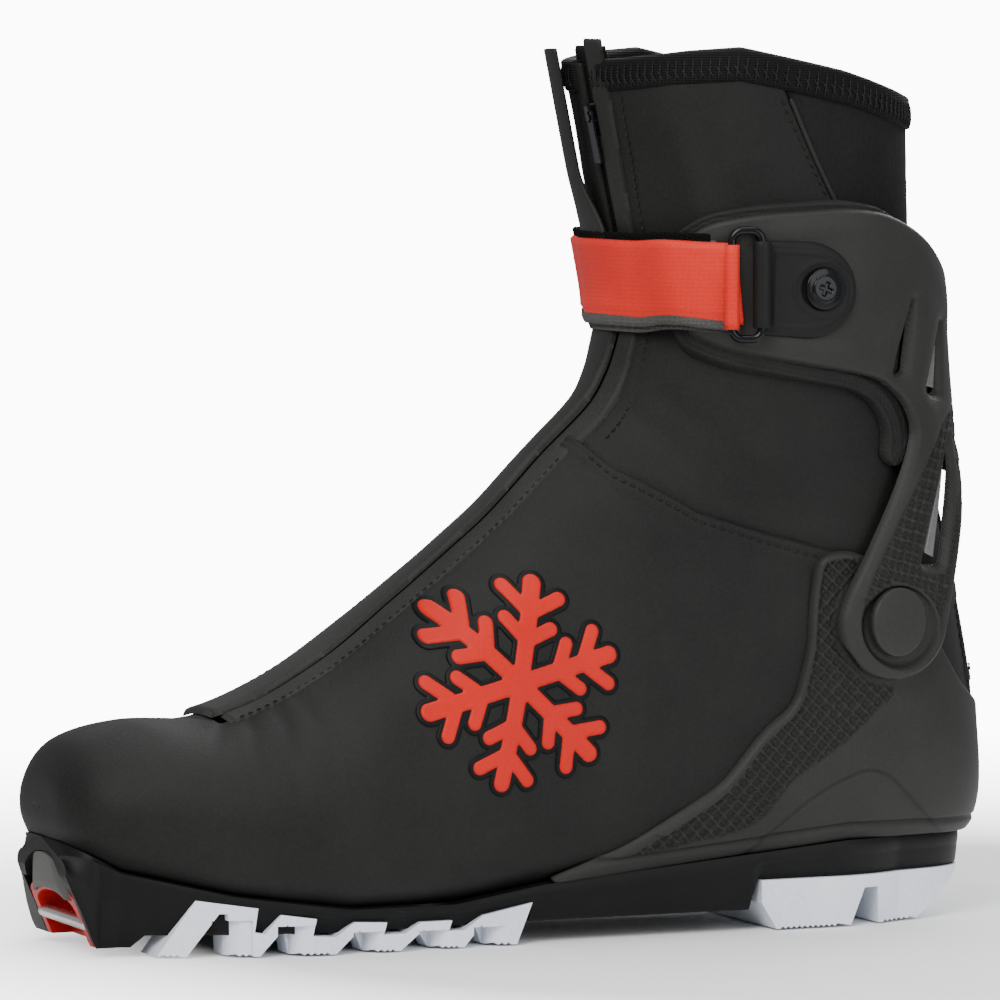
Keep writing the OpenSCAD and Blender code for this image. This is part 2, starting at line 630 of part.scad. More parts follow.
// ---- Power strap --------------------------------------------------------------------------------
STRAP_Z = [179, 205];
strap_low = (STRAP_Z[0] + STRAP_Z[1] - strap_h) / 2;
ring_v = 0.385;
function wing_lift(v) = 4.3 * smooth(0.13, 0.25, abs(v));
base_in = 3.1;
base_out = base_in + strap_t;
tail_in = base_out + 0.3;
tail_out = tail_in + strap_t;
function strap_at(v0, v1, low, high) =
    function (a, b) let (v = v0 + (v1 - v0) * b)
        [cross_t(v, level(low + (high - low) * a), 11, 16.5), v];
module strap_layer(cols, v0, v1, out, in, low, high) {
    at = strap_at(v0, v1, low, high);
    skin_solid(skin_grid(2, cols, at, function (t, v) out + wing_lift(v)),
               skin_grid(2, cols, at, function (t, v) in + wing_lift(v)));
}
module strap_base() {
    color("#1b1b1b") strap_layer(46, -0.47, 0.335, base_out, base_in, strap_low - 2, strap_low + strap_h);
}
module strap_tail() {
    color("#f84f45") difference() {
        union() {
            strap_layer(38, -0.3, ring_v - 0.03, tail_out, tail_in, strap_low, strap_low + strap_h);
            // sleeve round the front bar of the ring
            at_ring() translate([ring_w / 2, 0, 0])
                cylinder(r = wire_d / 2 + 1.2, h = strap_h - 1, center = true, $fn = 32);
        }
        at_ring() translate([ring_w / 2, 0, 0])
            cylinder(r = wire_d / 2 + 0.1, h = strap_h + 9, center = true, $fn = 32);
    }
}
ring_h = 32;
ring_w = 9;
ring_z = 192;
ring_at = skin(cross_t(ring_v, level(ring_z), 11, 16.5), ring_v, cuff_out + 3.4);
ring_turn = -16;
// Ring frame: x across the ring towards the front, z along its bars
module at_ring() {
    translate(ring_at) rotate([0, 0, ring_turn]) children();
}
module strap_ring() {
    bend = wire_d / 2 + 0.9;
    color("#2c2c2e") at_ring() {
        for (s = [-1, 1]) {
            translate([s * ring_w / 2, 0, 0])
                cylinder(r = wire_d / 2, h = ring_h - 2 * bend, center = true, $fn = 32);
            translate([0, 0, s * (ring_h / 2)]) rotate([0, 90, 0])
                cylinder(r = wire_d / 2, h = ring_w - 2 * bend, center = true, $fn = 32);
            for (u = [-1, 1])
                translate([u * (ring_w / 2 - bend), 0, s * (ring_h / 2 - bend)]) rotate([90, 0, 0])
                    rotate([0, 0, u > 0 ? (s > 0 ? 0 : 270) : (s > 0 ? 90 : 180)])
                        rotate_extrude(angle = 90, $fn = 32) translate([bend, 0]) circle(r = wire_d / 2);
        }
    }
}
TAB_X = [14, 37];
tab_h = 30;
module ring_tab() {
    at = strap_at(0.34, 0.56, ring_z - 17, ring_z + 17);
    color("#2f2f2e") {
        intersection() {
            skin_solid(skin_grid(4, 8, at, function (t, v) cuff_out + 2.2),
                       skin_grid(4, 8, at, function (t, v) cuff_out + 0.2));
            rotate([90, 0, 0]) translate([0, 0, -80]) linear_extrude(80) union() {
                translate([TAB_X[0] + tab_h / 2 - 4, ring_z - tab_h / 2])
                    square([TAB_X[1] - TAB_X[0] - tab_h / 2 + 4, tab_h]);
                translate([TAB_X[0] + tab_h / 2 - 4, ring_z]) circle(r = tab_h / 2);
            }
        }
        at_ring() translate([-ring_w / 2, 0, 0]) difference() {
            cylinder(r = wire_d / 2 + 1.4, h = strap_h - 1, center = true, $fn = 32);
            cylinder(r = wire_d / 2 + 0.1, h = strap_h + 1, center = true, $fn = 32);
        }
    }
}
screw_x = 22;
screw_y = skin(cross_t(0.46, level(ring_z), 11, 16.5), 0.46, cuff_out + 2.5)[1];
module cuff_screws() {
    color("#3c3c3e") both_sides() translate([screw_x, screw_y, ring_z]) rotate([-90, 0, 4]) difference() {
        union() {
            cylinder(r = 4.2, h = 1.6);
            cylinder(r = 6, h = 0.5);
        }
        for (k = [0, 90]) rotate(k + 20) translate([-2.2, -0.5, 0.8]) cube([4.4, 1, 2]);
    }
}

outsole_carrier();
forefoot_lugs();
heel_lug();
toe_insert();
toe_bumper();
toe_bar();
insole_board();
shank();
footbed();
vamp();
ankle_gusset();
toe_puff();
heel_counter();
foot_lining();
tongue();
lace_loops();
speed_lace();
lace_lock();
zip_tape_foot();
zip_coil_foot();
zip_flap_foot();
zip_welt_foot();
heel_shell();
pivot_rivets();
pivot_washers();
achilles_tab();
heel_pull();
emblem();
collar_lateral();
collar_medial();
collar_rear();
collar_binding();
collar_lining();
zip_tape_shaft();
zip_coil_shaft();
zip_flap_shaft();
zip_welt_shaft();
cuff_shell();
cuff_pad();
reflective_inlays();
pivot_caps();
ring_tab();
cuff_screws();
strap_base();
strap_ring();
strap_tail();
zip_slider();
zip_pull();
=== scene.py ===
"""Visual model of a left cross country skate boot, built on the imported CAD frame."""
import math

import bmesh
import bpy
import numpy as np
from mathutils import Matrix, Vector


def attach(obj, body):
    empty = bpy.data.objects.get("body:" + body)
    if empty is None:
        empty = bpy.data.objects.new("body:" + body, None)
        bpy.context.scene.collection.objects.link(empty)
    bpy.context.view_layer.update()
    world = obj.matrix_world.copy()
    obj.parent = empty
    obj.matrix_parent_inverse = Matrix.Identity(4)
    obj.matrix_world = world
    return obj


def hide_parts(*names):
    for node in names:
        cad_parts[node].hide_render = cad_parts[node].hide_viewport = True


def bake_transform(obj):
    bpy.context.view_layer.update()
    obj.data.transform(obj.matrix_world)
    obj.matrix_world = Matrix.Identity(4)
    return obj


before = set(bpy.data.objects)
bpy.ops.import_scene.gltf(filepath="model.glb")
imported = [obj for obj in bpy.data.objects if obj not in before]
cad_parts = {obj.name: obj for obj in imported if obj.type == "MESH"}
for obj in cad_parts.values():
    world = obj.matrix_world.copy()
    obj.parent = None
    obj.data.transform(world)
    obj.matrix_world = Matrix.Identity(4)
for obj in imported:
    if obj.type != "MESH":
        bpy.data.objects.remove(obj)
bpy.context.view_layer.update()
MM = 0.001

# ---- The last: the same rows as the part, in millimetres ------------------------------------
# upper end x z, lower end x z, half width, shift, roundness above and below, share above
LAST = np.array([
    [249, 46, 249, 38, 8, -7, 2.0, 2.0, 0.50],
    [246.5, 55, 246.5, 30, 23, -6, 2.0, 2.4, 0.56],
    [239, 62, 239, 24, 33, -6, 2.1, 3.0, 0.58],
    [221, 66, 221, 18, 41, -6, 2.2, 3.4, 0.58],
    [197, 67, 198, 13, 46, -3, 2.2, 3.6, 0.60],
    [170, 80, 170, 9, 48, 0, 2.1, 3.6, 0.62],
    [142, 101, 138, 9, 46, 1, 2.0, 3.6, 0.64],
    [114, 124, 95, 14, 42, 2, 2.0, 3.6, 0.62],
    [94, 144, 40, 19, 39, 2, 2.0, 3.6, 0.60],
    [80, 157, -14, 21, 38, 1, 2.1, 3.2, 0.54],
    [74, 166, -44, 28, 38, 0, 2.2, 2.6, 0.47],
    [71, 174, -47, 60, 39, 0, 2.2, 2.3, 0.42],
    [69, 182, -42, 95, 39, 0, 2.2, 2.1, 0.42],
    [68, 190, -34, 130, 40, 0, 2.2, 2.1, 0.44],
    [70, 205, -28, 170, 41, 0, 2.2, 2.1, 0.46],
    [75, 230, -25, 215, 42, 0, 2.2, 2.1, 0.48],
    [82.6, 268, -24, 262, 43, 0, 2.2, 2.1, 0.50]], float)
LAST_END = len(LAST) - 1
LAST_ROWS = np.vstack([2 * LAST[0] - LAST[1], LAST, 2 * LAST[-1] - LAST[-2]])


def section(t):
    """Catmull-Rom curve through the rows of the last."""
    i = np.clip(np.floor(t), 0, LAST_END - 1).astype(int)
    u = (t - i)[..., None]
    a, b, c, d = (LAST_ROWS[i + k] if k < 3 else LAST_ROWS[np.minimum(i + 3, LAST_END + 2)]
                  for k in range(4))
    return 0.5 * (2 * b + (c - a) * u + (2 * a - 5 * b + 4 * c - d) * u ** 2
                  + (3 * b - a - 3 * c + d) * u ** 3)


def skin(t, v, off=0.0):
    """Point of the boot's skin: section t, girth v (0 instep, 0.5 outer side, 1 below, 1.5 inner), off out."""
    t, v, off = np.broadcast_arrays(*(np.asarray(x, float) for x in (t, v, off)))
    s = section(t)
    w = np.where(v > 1, v - 2, v)
    c = np.cos(np.pi * w)
    up = c > 0
    r = 2 / np.where(up, s[..., 6], s[..., 7])
    cc = np.abs(c) ** r
    ss = np.abs(np.sin(np.pi * w)) ** r
    dx, dz = s[..., 2] - s[..., 0], s[..., 3] - s[..., 1]
    q = np.where(up, s[..., 8] * (1 - cc), s[..., 8] + (1 - s[..., 8]) * cc)
    q = q + np.where(up, -cc, cc) * off / np.hypot(dx, dz)
    nose = off * np.maximum(0, 1 - t / 1.5) ** 2
    y = s[..., 5] + np.where(w < 0, -1, 1) * (s[..., 4] + off) * ss
    return np.stack([s[..., 0] + q * dx + nose, y, s[..., 1] + q * dz], -1)


def normal(t, v, off=0.0):
    """Unit normal of the skin, pointing out."""
    e = 1e-3
    a = skin(np.minimum(t + e, LAST_END), v, off) - skin(np.maximum(t - e, 0), v, off)
    b = skin(t, v + e, off) - skin(t, v - e, off)
    n = np.cross(b, a)
    n = n / np.maximum(np.linalg.norm(n, axis=-1, keepdims=True), 1e-9)
    out = skin(t, v, np.asarray(off, float) + 1.0) - skin(t, v, off)
    return n * np.sign((n * out).sum(-1, keepdims=True) + 1e-12)


def smooth(lo, hi, x):
    u = np.clip((np.asarray(x, float) - lo) / (hi - lo), 0, 1)
    return u * u * (3 - 2 * u)


def lookup(x, line):
    line = np.asarray(line, float)
    return np.interp(x, line[:, 0], line[:, 1])


def on_side(points):
    """Section and girth of points [x, z] seen from the outer side."""
    points = np.asarray(points, float)
    tt, vv = np.meshgrid(np.linspace(0.02, LAST_END - 0.02, 340), np.linspace(0.01, 0.99, 160), indexing="ij")
    grid = skin(tt, vv)[..., [0, 2]].reshape(-1, 2)
    best = np.array([((grid - p) ** 2).sum(1).argmin() for p in points])
    tv = np.stack([tt.ravel()[best], vv.ravel()[best]], -1)
    for _ in range(8):
        p0 = skin(tv[:, 0], tv[:, 1])[:, [0, 2]]
        ja = (skin(tv[:, 0] + 1e-4, tv[:, 1])[:, [0, 2]] - p0) / 1e-4
        jb = (skin(tv[:, 0], tv[:, 1] + 1e-4)[:, [0, 2]] - p0) / 1e-4
        det = ja[:, 0] * jb[:, 1] - ja[:, 1] * jb[:, 0]
        det = np.where(np.abs(det) < 1e-6, 1e9, det)
        miss = points - p0
        step = np.stack([miss[:, 0] * jb[:, 1] - miss[:, 1] * jb[:, 0],
                         ja[:, 0] * miss[:, 1] - ja[:, 1] * miss[:, 0]], -1) / det[:, None]
        tv = tv + np.clip(step, -0.2, 0.2)
        tv[:, 0] = np.clip(tv[:, 0], 0, LAST_END)
        tv[:, 1] = np.clip(tv[:, 1], 0.002, 0.998)
    return tv


# ---- Side-view lines, [x, z] -----------------------------------------------------------------
FEATHER = [[-60, 26], [6, 26.5], [54, 22.5], [106, 18], [135, 13.5], [168, 13.5], [202, 18],
           [233, 25], [248, 33.5], [256, 37]]
ANKLE_SEAM = [[-60, 98], [15, 114], [36, 120], [55, 126], [67, 133], [79, 139.5], [87, 148], [110, 160]]
RIM = [[-30, 245], [-16, 247], [10, 254], [30, 258], [45, 261], [60, 260], [90, 256]]
HEEL_OUTLINE = [[106, 18.4], [81, 28], [51, 45], [37, 61], [27, 68], [22, 85], [21, 99], [19, 112],
                [10, 114], [-8, 108], [-18, 95], [-24, 85], [-34, 72], [-44, 66], [-60, 65],
                [-60, 26.5], [6, 27], [54, 23]]
GRIP_LINE = [[81, 25], [62, 28], [40, 33], [28, 45], [12, 55], [-2, 66], [-11, 74]]
CUFF_OUTLINE = [[58, 205], [52, 211], [40, 214], [14, 216], [1, 215], [-12, 209], [-26, 195],
                [-35, 181], [-60, 170], [-60, 144], [-33, 140], [-31, 135], [-28, 122], [-25, 107],
                [-20, 86], [-13, 78], [-3, 75], [7, 78], [13, 85], [14, 93], [11, 102], [5, 114],
                [-3, 129], [-8, 142], [-10, 151], [-7, 158], [1, 165], [10, 167], [47, 172], [56, 176]]
PAD_OUTLINE = [[61, 207], [54, 214], [40, 217], [14, 218.5], [-2, 216], [-20, 200], [-20, 150],
               [-6, 138], [-2, 141], [-3, 150], [2, 158], [10, 162], [48, 168], [59, 173]]
SLOT_FRONT = [[-9, 190], [-2, 167], [-6, 167]]
SLOT_MID = [[-20, 184], [-14, 162], [-19, 161]]
SLOT_LONG = [[-24, 152], [-13, 110], [-20, 110], [-25, 140]]
PIVOT = (-5.0, 92.0)
RING_Z = 192.0
UPPER_WALL = 2.0
LINING_OUT, LINING_IN = -3.1, -5.3
SHELL_IN, SHELL_OUT = 0.4, 2.2
CUFF_IN, CUFF_OUT = 4.2, 7.2
STRAP_Z = (179.0, 205.0)


def side_v(v):
    return np.where(v > 1, 2 - v, v)


def rear_lift(v):
    return 3.4 * smooth(0.6, 0.9, side_v(v))



# ---- Distances in the side view and along lines ------------------------------------------------
def segment_dist(p, a, b):
    """Distance from 2-D points p to the segment from a to b, and how far along it lies."""
    d = b - a
    u = np.clip(((p - a) @ d) / max(d @ d, 1e-12), 0, 1)
    return np.linalg.norm(p - a - u[:, None] * d, axis=1), u


def line_dist(p, line):
    """Distance from 2-D points to an open line."""
    line = np.asarray(line, float)
    best = np.full(len(p), 1e9)
    for a, b in zip(line[:-1], line[1:]):
        best = np.minimum(best, segment_dist(p, a, b)[0])
    return best


def outline_dist(p, outline):
    """Signed distance to a closed outline, below zero inside."""
    outline = np.asarray(outline, float)
    inside = np.zeros(len(p), bool)
    for a, b in zip(outline, np.roll(outline, -1, 0)):
        with np.errstate(divide="ignore", invalid="ignore"):
            cross = (a[1] > p[:, 1]) != (b[1] > p[:, 1])
            x = (b[0] - a[0]) * (p[:, 1] - a[1]) / (b[1] - a[1] + 1e-12) + a[0]
        inside ^= cross & (p[:, 0] < x)
    d = line_dist(p, np.vstack([outline, outline[:1]]))
    return np.where(inside, -d, d)


def rounded(outline, radius):
    """The outline with its corners cut to arcs."""
    out = []
    pts = [np.asarray(p, float) for p in outline]
    for i, p in enumerate(pts):
        a, b = pts[i - 1], pts[(i + 1) % len(pts)]
        la, lb = np.linalg.norm(a - p), np.linalg.norm(b - p)
        r = min(radius, 0.45 * la, 0.45 * lb)
        pa, pb = p + (a - p) / la * r, p + (b - p) / lb * r
        out += [(1 - u) ** 2 * pa + 2 * u * (1 - u) * p + u * u * pb for u in (0, 0.25, 0.5, 0.75, 1)]
    return np.array(out)


def curve_through(points, per=8):
    """Smooth open line through 2-D points."""
    p = np.asarray(points, float)
    p = np.vstack([2 * p[0] - p[1], p, 2 * p[-1] - p[-2]])
    out = []
    for i in range(1, len(p) - 2):
        a, b, c, d = p[i - 1:i + 3]
        for u in np.linspace(0, 1, per, endpoint=False):
            out.append(0.5 * (2 * b + (c - a) * u + (2 * a - 5 * b + 4 * c - d) * u ** 2
                              + (3 * b - a - 3 * c + d) * u ** 3))
    out.append(p[-2])
    return np.array(out)


def edge_round(d, r):
    """Height share of a panel whose edge is rounded over r, at signed distance d from its edge."""
    u = np.clip(-d / r, 0, 1)
    return np.sqrt(np.maximum(0, 1 - (1 - u) ** 2))


def bump_line(d, half):
    """Smooth ridge of unit height and given half width."""
    u = np.clip(np.abs(d) / half, 0, 1)
    return (1 - u * u) ** 2


# ---- Patches of the skin as meshes ----------------------------------------------------------------
class Patch:
    """A piece of the skin: section and girth of each vertex, and its faces."""

    def __init__(self, t, v, faces):
        self.t, self.v, self.faces = t, v, faces

    def xz(self):
        return skin(self.t, self.v)[:, [0, 2]]

    def clip(self, d):
        """The part of the patch where d is below zero, cut exactly along d = 0."""
        t, v = list(self.t), list(self.v)
        keep, made = [], {}
        inside = d < 0
        count = inside[self.faces].sum(1)
        keep = [tuple(f) for f in self.faces[count == 4]]

        def cut(i, j):
            key = (min(i, j), max(i, j))
            if key not in made:
                u = d[i] / (d[i] - d[j])
                u = min(max(u, 0.02), 0.98)
                t.append(self.t[i] + u * (self.t[j] - self.t[i]))
                v.append(self.v[i] + u * (self.v[j] - self.v[i]))
                made[key] = len(t) - 1
            return made[key]

        for f in self.faces[(count > 0) & (count < 4)]:
            ring = []
            for i, j in zip(f, np.roll(f, -1)):
                if inside[i]:
                    ring.append(int(i))
                if inside[i] != inside[j]:
                    ring.append(cut(int(i), int(j)))
            if len(ring) >= 3:
                keep.append(tuple(ring))
        used = sorted({i for f in keep for i in f})
        new = {o: n for n, o in enumerate(used)}
        out = Patch(np.array([t[i] for i in used]), np.array([v[i] for i in used]), None)
        out.faces = [tuple(new[i] for i in f) for f in keep]
        return out


def even(values_at, lo, hi, step):
    """Values from lo to hi spaced evenly along the curve values_at(x) traces."""
    x = np.linspace(lo, hi, 1500)
    p = values_at(x)
    s = np.concatenate([[0], np.cumsum(np.linalg.norm(np.diff(p, axis=0), axis=1))])
    return np.interp(np.linspace(0, s[-1], max(3, int(s[-1] / step) + 1)), s, x)


def grid_patch(t0, t1, v0, v1, step, t_mid=None, v_mid=None, warp=None):
    """Patch of evenly spaced rows and columns; warp(a, b) may bend it to (t, v)."""
    t_mid = (t0 + t1) / 2 if t_mid is None else t_mid
    v_mid = (v0 + v1) / 2 if v_mid is None else v_mid
    rows = even(lambda t: skin(t, v_mid), t0, t1, step)
    cols = even(lambda v: skin(t_mid, v), v0, v1, step)
    tt, vv = np.meshgrid(rows, cols, indexing="ij")
    if warp:
        tt, vv = warp((tt - t0) / (t1 - t0), (vv - v0) / (v1 - v0))
    n, m = tt.shape
    i = np.arange(n * m).reshape(n, m)
    faces = np.stack([i[:-1, :-1], i[1:, :-1], i[1:, 1:], i[:-1, 1:]], -1).reshape(-1, 4)
    return Patch(tt.ravel(), vv.ravel(), faces)


def mesh_object(name, verts, faces, mat, smooth_shade=True, weld=0.0):
    """Object from millimetre points and faces."""
    mesh = bpy.data.meshes.new(name)
    mesh.from_pydata([tuple(p) for p in np.asarray(verts) * MM], [], [tuple(map(int, f)) for f in faces])
    bm = bmesh.new()
    bm.from_mesh(mesh)
    if weld:
        bmesh.ops.remove_doubles(bm, verts=bm.verts, dist=weld * MM)
    bmesh.ops.recalc_face_normals(bm, faces=bm.faces)
    bm.to_mesh(mesh)
    bm.free()
    if smooth_shade:
        mesh.shade_smooth()
    obj = bpy.data.objects.new(name, mesh)
    bpy.context.scene.collection.objects.link(obj)
    obj.data.materials.append(mat)
    return obj


def set_shade(obj, shade):
    """Stores how shaded each point is, from 0 to 1, for the material to darken recesses and seams."""
    layer = obj.data.attributes.new("shade", "FLOAT", "POINT")
    values = np.zeros(len(obj.data.vertices), np.float32)
    values[:len(shade)] = np.clip(shade, 0, 1)
    layer.data.foreach_set("value", values)


def shell(name, patch, out, inn, mat, shade=None):
    """Closed wall over a patch, from distance inn to distance out."""
    outer = skin(patch.t, patch.v, out)
    inner = skin(patch.t, patch.v, inn)
    n = len(outer)
    faces = [tuple(f) for f in patch.faces]
    edges = {}
    for f in faces:
        for i, j in zip(f, f[1:] + f[:1]):
            edges[(i, j)] = True
    rim = [(i, j) for (i, j) in edges if (j, i) not in edges]
    all_faces = faces + [tuple(n + i for i in reversed(f)) for f in faces]
    all_faces += [(j, i, n + i, n + j) for i, j in rim]
    obj = mesh_object(name, np.vstack([outer, inner]), all_faces, mat)
    if shade is not None:
        set_shade(obj, shade)
    return obj


def finish_piece(obj, body, slot, *nodes):
    """Gives a finished piece its body and hides the CAD nodes it stands for; its slot argument is not used."""
    if body:
        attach(obj, body)
    if nodes:
        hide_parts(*nodes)
    return obj


def bend_piece(obj, slot, *nodes):
    """A fabric piece that crosses the ankle."""
    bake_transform(obj)
    if nodes:
        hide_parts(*nodes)
    return obj


# ---- Materials -------------------------------------------------------------------------------------
TONE = 0.30


def srgb(r, g, b, tone=None):
    """Linear colour of a display colour; tone allows for how bright the studio light is."""
    lin = [((c / 255 + 0.055) / 1.055) ** 2.4 for c in (r, g, b)]
    return tuple(c * (TONE if tone is None else tone) for c in lin) + (1.0,)


def material(name, dark, light, rough=0.6, grain=900.0, bump=0.15, kind="noise", metallic=0.0,
             coat=0.0, sheen=0.0, cloud=40.0, stretch=(1, 1, 1), distance=0.0004, spec=0.16, deep=0.25):
    """Procedural material: two close colours over a fine grain, a weave, ribs or brushed marks."""
    mat = bpy.data.materials.new(name)
    mat.use_nodes = True
    nodes, links = mat.node_tree.nodes, mat.node_tree.links
    nodes.clear()
    out = nodes.new("ShaderNodeOutputMaterial")
    shader = nodes.new("ShaderNodeBsdfPrincipled")
    links.new(shader.outputs[0], out.inputs[0])
    shader.inputs["Metallic"].default_value = metallic
    shader.inputs["Coat Weight"].default_value = coat
    shader.inputs["Sheen Weight"].default_value = sheen
    shader.inputs["Specular IOR Level"].default_value = spec
    coords = nodes.new("ShaderNodeTexCoord")
    mapping = nodes.new("ShaderNodeMapping")
    mapping.inputs["Scale"].default_value = stretch
    links.new(coords.outputs["Object"], mapping.inputs["Vector"])

    fine = nodes.new("ShaderNodeTexNoise")
    fine.inputs["Scale"].default_value = grain
    fine.inputs["Detail"].default_value = 4
    links.new(mapping.outputs[0], fine.inputs["Vector"])
    wide = nodes.new("ShaderNodeTexNoise")
    wide.inputs["Scale"].default_value = cloud
    wide.inputs["Detail"].default_value = 3
    links.new(coords.outputs["Object"], wide.inputs["Vector"])

    mix = nodes.new("ShaderNodeMath")
    mix.operation = "MULTIPLY_ADD"
    mix.inputs[1].default_value = 0.5
    links.new(fine.outputs["Fac"], mix.inputs[0])
    half = nodes.new("ShaderNodeMath")
    half.operation = "MULTIPLY"
    half.inputs[1].default_value = 0.5
    links.new(wide.outputs["Fac"], half.inputs[0])
    links.new(half.outputs[0], mix.inputs[2])
    ramp = nodes.new("ShaderNodeValToRGB")
    ramp.color_ramp.elements[0].position = 0.32
    ramp.color_ramp.elements[1].position = 0.68
    ramp.color_ramp.elements[0].color = dark
    ramp.color_ramp.elements[1].color = light
    links.new(mix.outputs[0], ramp.inputs[0])
    # painted shade: the per-point shade attribute mixes the base colour towards the dark colour times deep, in grip
    # cell recesses, creases, grooves and seams
    painted_shade_in = nodes.new("ShaderNodeAttribute")
    painted_shade_in.attribute_name = "shade"
    tint = nodes.new("ShaderNodeMix")
    tint.data_type = "RGBA"
    tint.inputs[7].default_value = tuple(c * deep for c in dark[:3]) + (1.0,)
    links.new(painted_shade_in.outputs["Fac"], tint.inputs[0])
    links.new(ramp.outputs[0], tint.inputs[6])
    links.new(tint.outputs[2], shader.inputs["Base Color"])

    rough_range = nodes.new("ShaderNodeMapRange")
    rough_range.inputs["To Min"].default_value = max(0.05, rough - 0.08)
    rough_range.inputs["To Max"].default_value = min(1.0, rough + 0.08)
    links.new(mix.outputs[0], rough_range.inputs["Value"])
    links.new(rough_range.outputs[0], shader.inputs["Roughness"])

    height = fine.outputs["Fac"]
    if kind in ("weave", "rib", "twill"):
        waves = []
        for axis in (("X", "Z") if kind == "weave" else ("DIAGONAL",) if kind == "twill" else ("Z",)):
            wave = nodes.new("ShaderNodeTexWave")
            wave.bands_direction = axis
            wave.inputs["Scale"].default_value = grain / 6
            wave.inputs["Distortion"].default_value = 0.6
            links.new(mapping.outputs[0], wave.inputs["Vector"])
            waves.append(wave.outputs["Fac"])
        height = waves[0]
        if len(waves) == 2:
            both = nodes.new("ShaderNodeMath")
            both.operation = "MULTIPLY"
            links.new(waves[0], both.inputs[0])
            links.new(waves[1], both.inputs[1])
            height = both.outputs[0]
    bump_node = nodes.new("ShaderNodeBump")
    bump_node.inputs["Strength"].default_value = bump
    bump_node.inputs["Distance"].default_value = distance
    links.new(height, bump_node.inputs["Height"])
    links.new(bump_node.outputs[0], shader.inputs["Normal"])
    return mat


M = {
    "upper": material("upper_cloth", srgb(46, 47, 45), srgb(66, 67, 64), 0.62, 1100, 0.35),
    "stretch": material("stretch_cloth", srgb(40, 40, 40), srgb(60, 60, 60), 0.85, 700, 0.4),
    "lining": material("lining_cloth", srgb(30, 30, 30), srgb(46, 46, 46), 0.9, 900, 0.5, "weave"),
    "binding": material("overlock_thread", srgb(24, 24, 25), srgb(40, 40, 41), 0.75, 2500, 0.6, "rib"),
    "stitch": material("stitch_thread", srgb(44, 44, 43), srgb(74, 74, 72), 0.6, 3500, 0.5, "twill"),
    "flap": material("flap_cloth", srgb(60, 61, 58), srgb(82, 83, 79), 0.55, 1100, 0.3),
    "zip": material("zip_tape", srgb(20, 20, 20), srgb(34, 34, 34), 0.8, 1400, 0.5, "weave"),
    "shell": material("heel_shell_plastic", srgb(70, 70, 68), srgb(88, 88, 85), 0.5, 1500, 0.18),
    "cuff": material("cuff_plastic", srgb(76, 76, 73), srgb(92, 92, 88), 0.5, 1700, 0.2),
    "cap": material("cap_plastic", srgb(82, 82, 79), srgb(98, 98, 94), 0.42, 1200, 0.12),
    "pad": material("pad_cloth", srgb(56, 56, 55), srgb(74, 74, 72), 0.7, 1300, 0.3, "weave"),
    "silver": material("reflective_film", srgb(176, 177, 174), srgb(206, 207, 204), 0.38, 600, 0.1, metallic=0.35),
    "strap_red": material("strap_red_cloth", (0.62, 0.022, 0.014, 1), (0.74, 0.036, 0.024, 1), 0.55, 1500, 0.25, "weave"),
    "strap_black": material("loop_fleece", srgb(14, 14, 14), srgb(38, 38, 38), 0.95, 2600, 1.0, distance=0.001),
    "webbing": material("webbing", srgb(120, 118, 114), srgb(156, 153, 148), 0.7, 1800, 0.5, "weave"),
    "dark_web": material("dark_webbing", srgb(28, 28, 28), srgb(52, 52, 52), 0.75, 1800, 0.5, "weave"),
    "tab": material("tab_rubber", srgb(44, 44, 44), srgb(58, 58, 57), 0.5, 1600, 0.15),
    "metal_dark": material("dark_metal", srgb(34, 35, 38), srgb(56, 57, 60), 0.28, 900, 0.08, metallic=0.6, coat=0.3),
    "steel": material("steel", srgb(190, 186, 183, 0.9), srgb(226, 222, 219, 0.9), 0.28, 900, 0.12, metallic=0.9,
                      stretch=(1, 0.05, 1)),
    "white": material("white_tread", srgb(214, 220, 232, 1), srgb(236, 239, 246, 1), 0.45, 900, 0.12),
    "black_sole": material("sole_plastic", srgb(24, 24, 25), srgb(38, 38, 38), 0.5, 1300, 0.2),
    "red": material("toe_red_plastic", (0.42, 0.008, 0.004, 1), (0.52, 0.013, 0.008, 1), 0.4, 1100, 0.1),
    "grey": material("bumper_rubber", srgb(118, 117, 113), srgb(138, 137, 133), 0.5, 1200, 0.15),
    "emblem": material("emblem_print", (0.50, 0.010, 0.005, 1), (0.60, 0.016, 0.009, 1), 0.45, 1500, 0.1),
    "outline": material("emblem_outline", srgb(14, 14, 15), srgb(26, 26, 27), 0.5, 1500, 0.1),
    "board": material("pressed_board", srgb(96, 84, 66), srgb(126, 112, 90), 0.8, 600, 0.3),
    "footbed": material("footbed_cloth", srgb(140, 24, 22), srgb(170, 34, 30), 0.85, 900, 0.4, "weave"),
    "lace": material("lace_braid", srgb(160, 40, 32), srgb(200, 60, 48), 0.7, 2200, 0.5, "twill"),
}


# ---- Stitches along a line on the skin ----------------------------------------------------------------
def trace(tv, off, step=0.4):
    """Points and normals every step mm along a smooth line through (t, v) pairs."""
    c = curve_through(tv, 24)
    o = off if np.isscalar(off) else np.interp(np.arange(len(c)), np.arange(len(c)), off)
    p = skin(c[:, 0], c[:, 1], o)
    s = np.concatenate([[0], np.cumsum(np.linalg.norm(np.diff(p, axis=0), axis=1))])
    x = np.arange(0, s[-1], step)
    t = np.interp(x, s, c[:, 0])
    v = np.interp(x, s, c[:, 1])
    o = o if np.isscalar(o) else np.interp(x, s, o)
    return skin(t, v, o), normal(t, v, o)


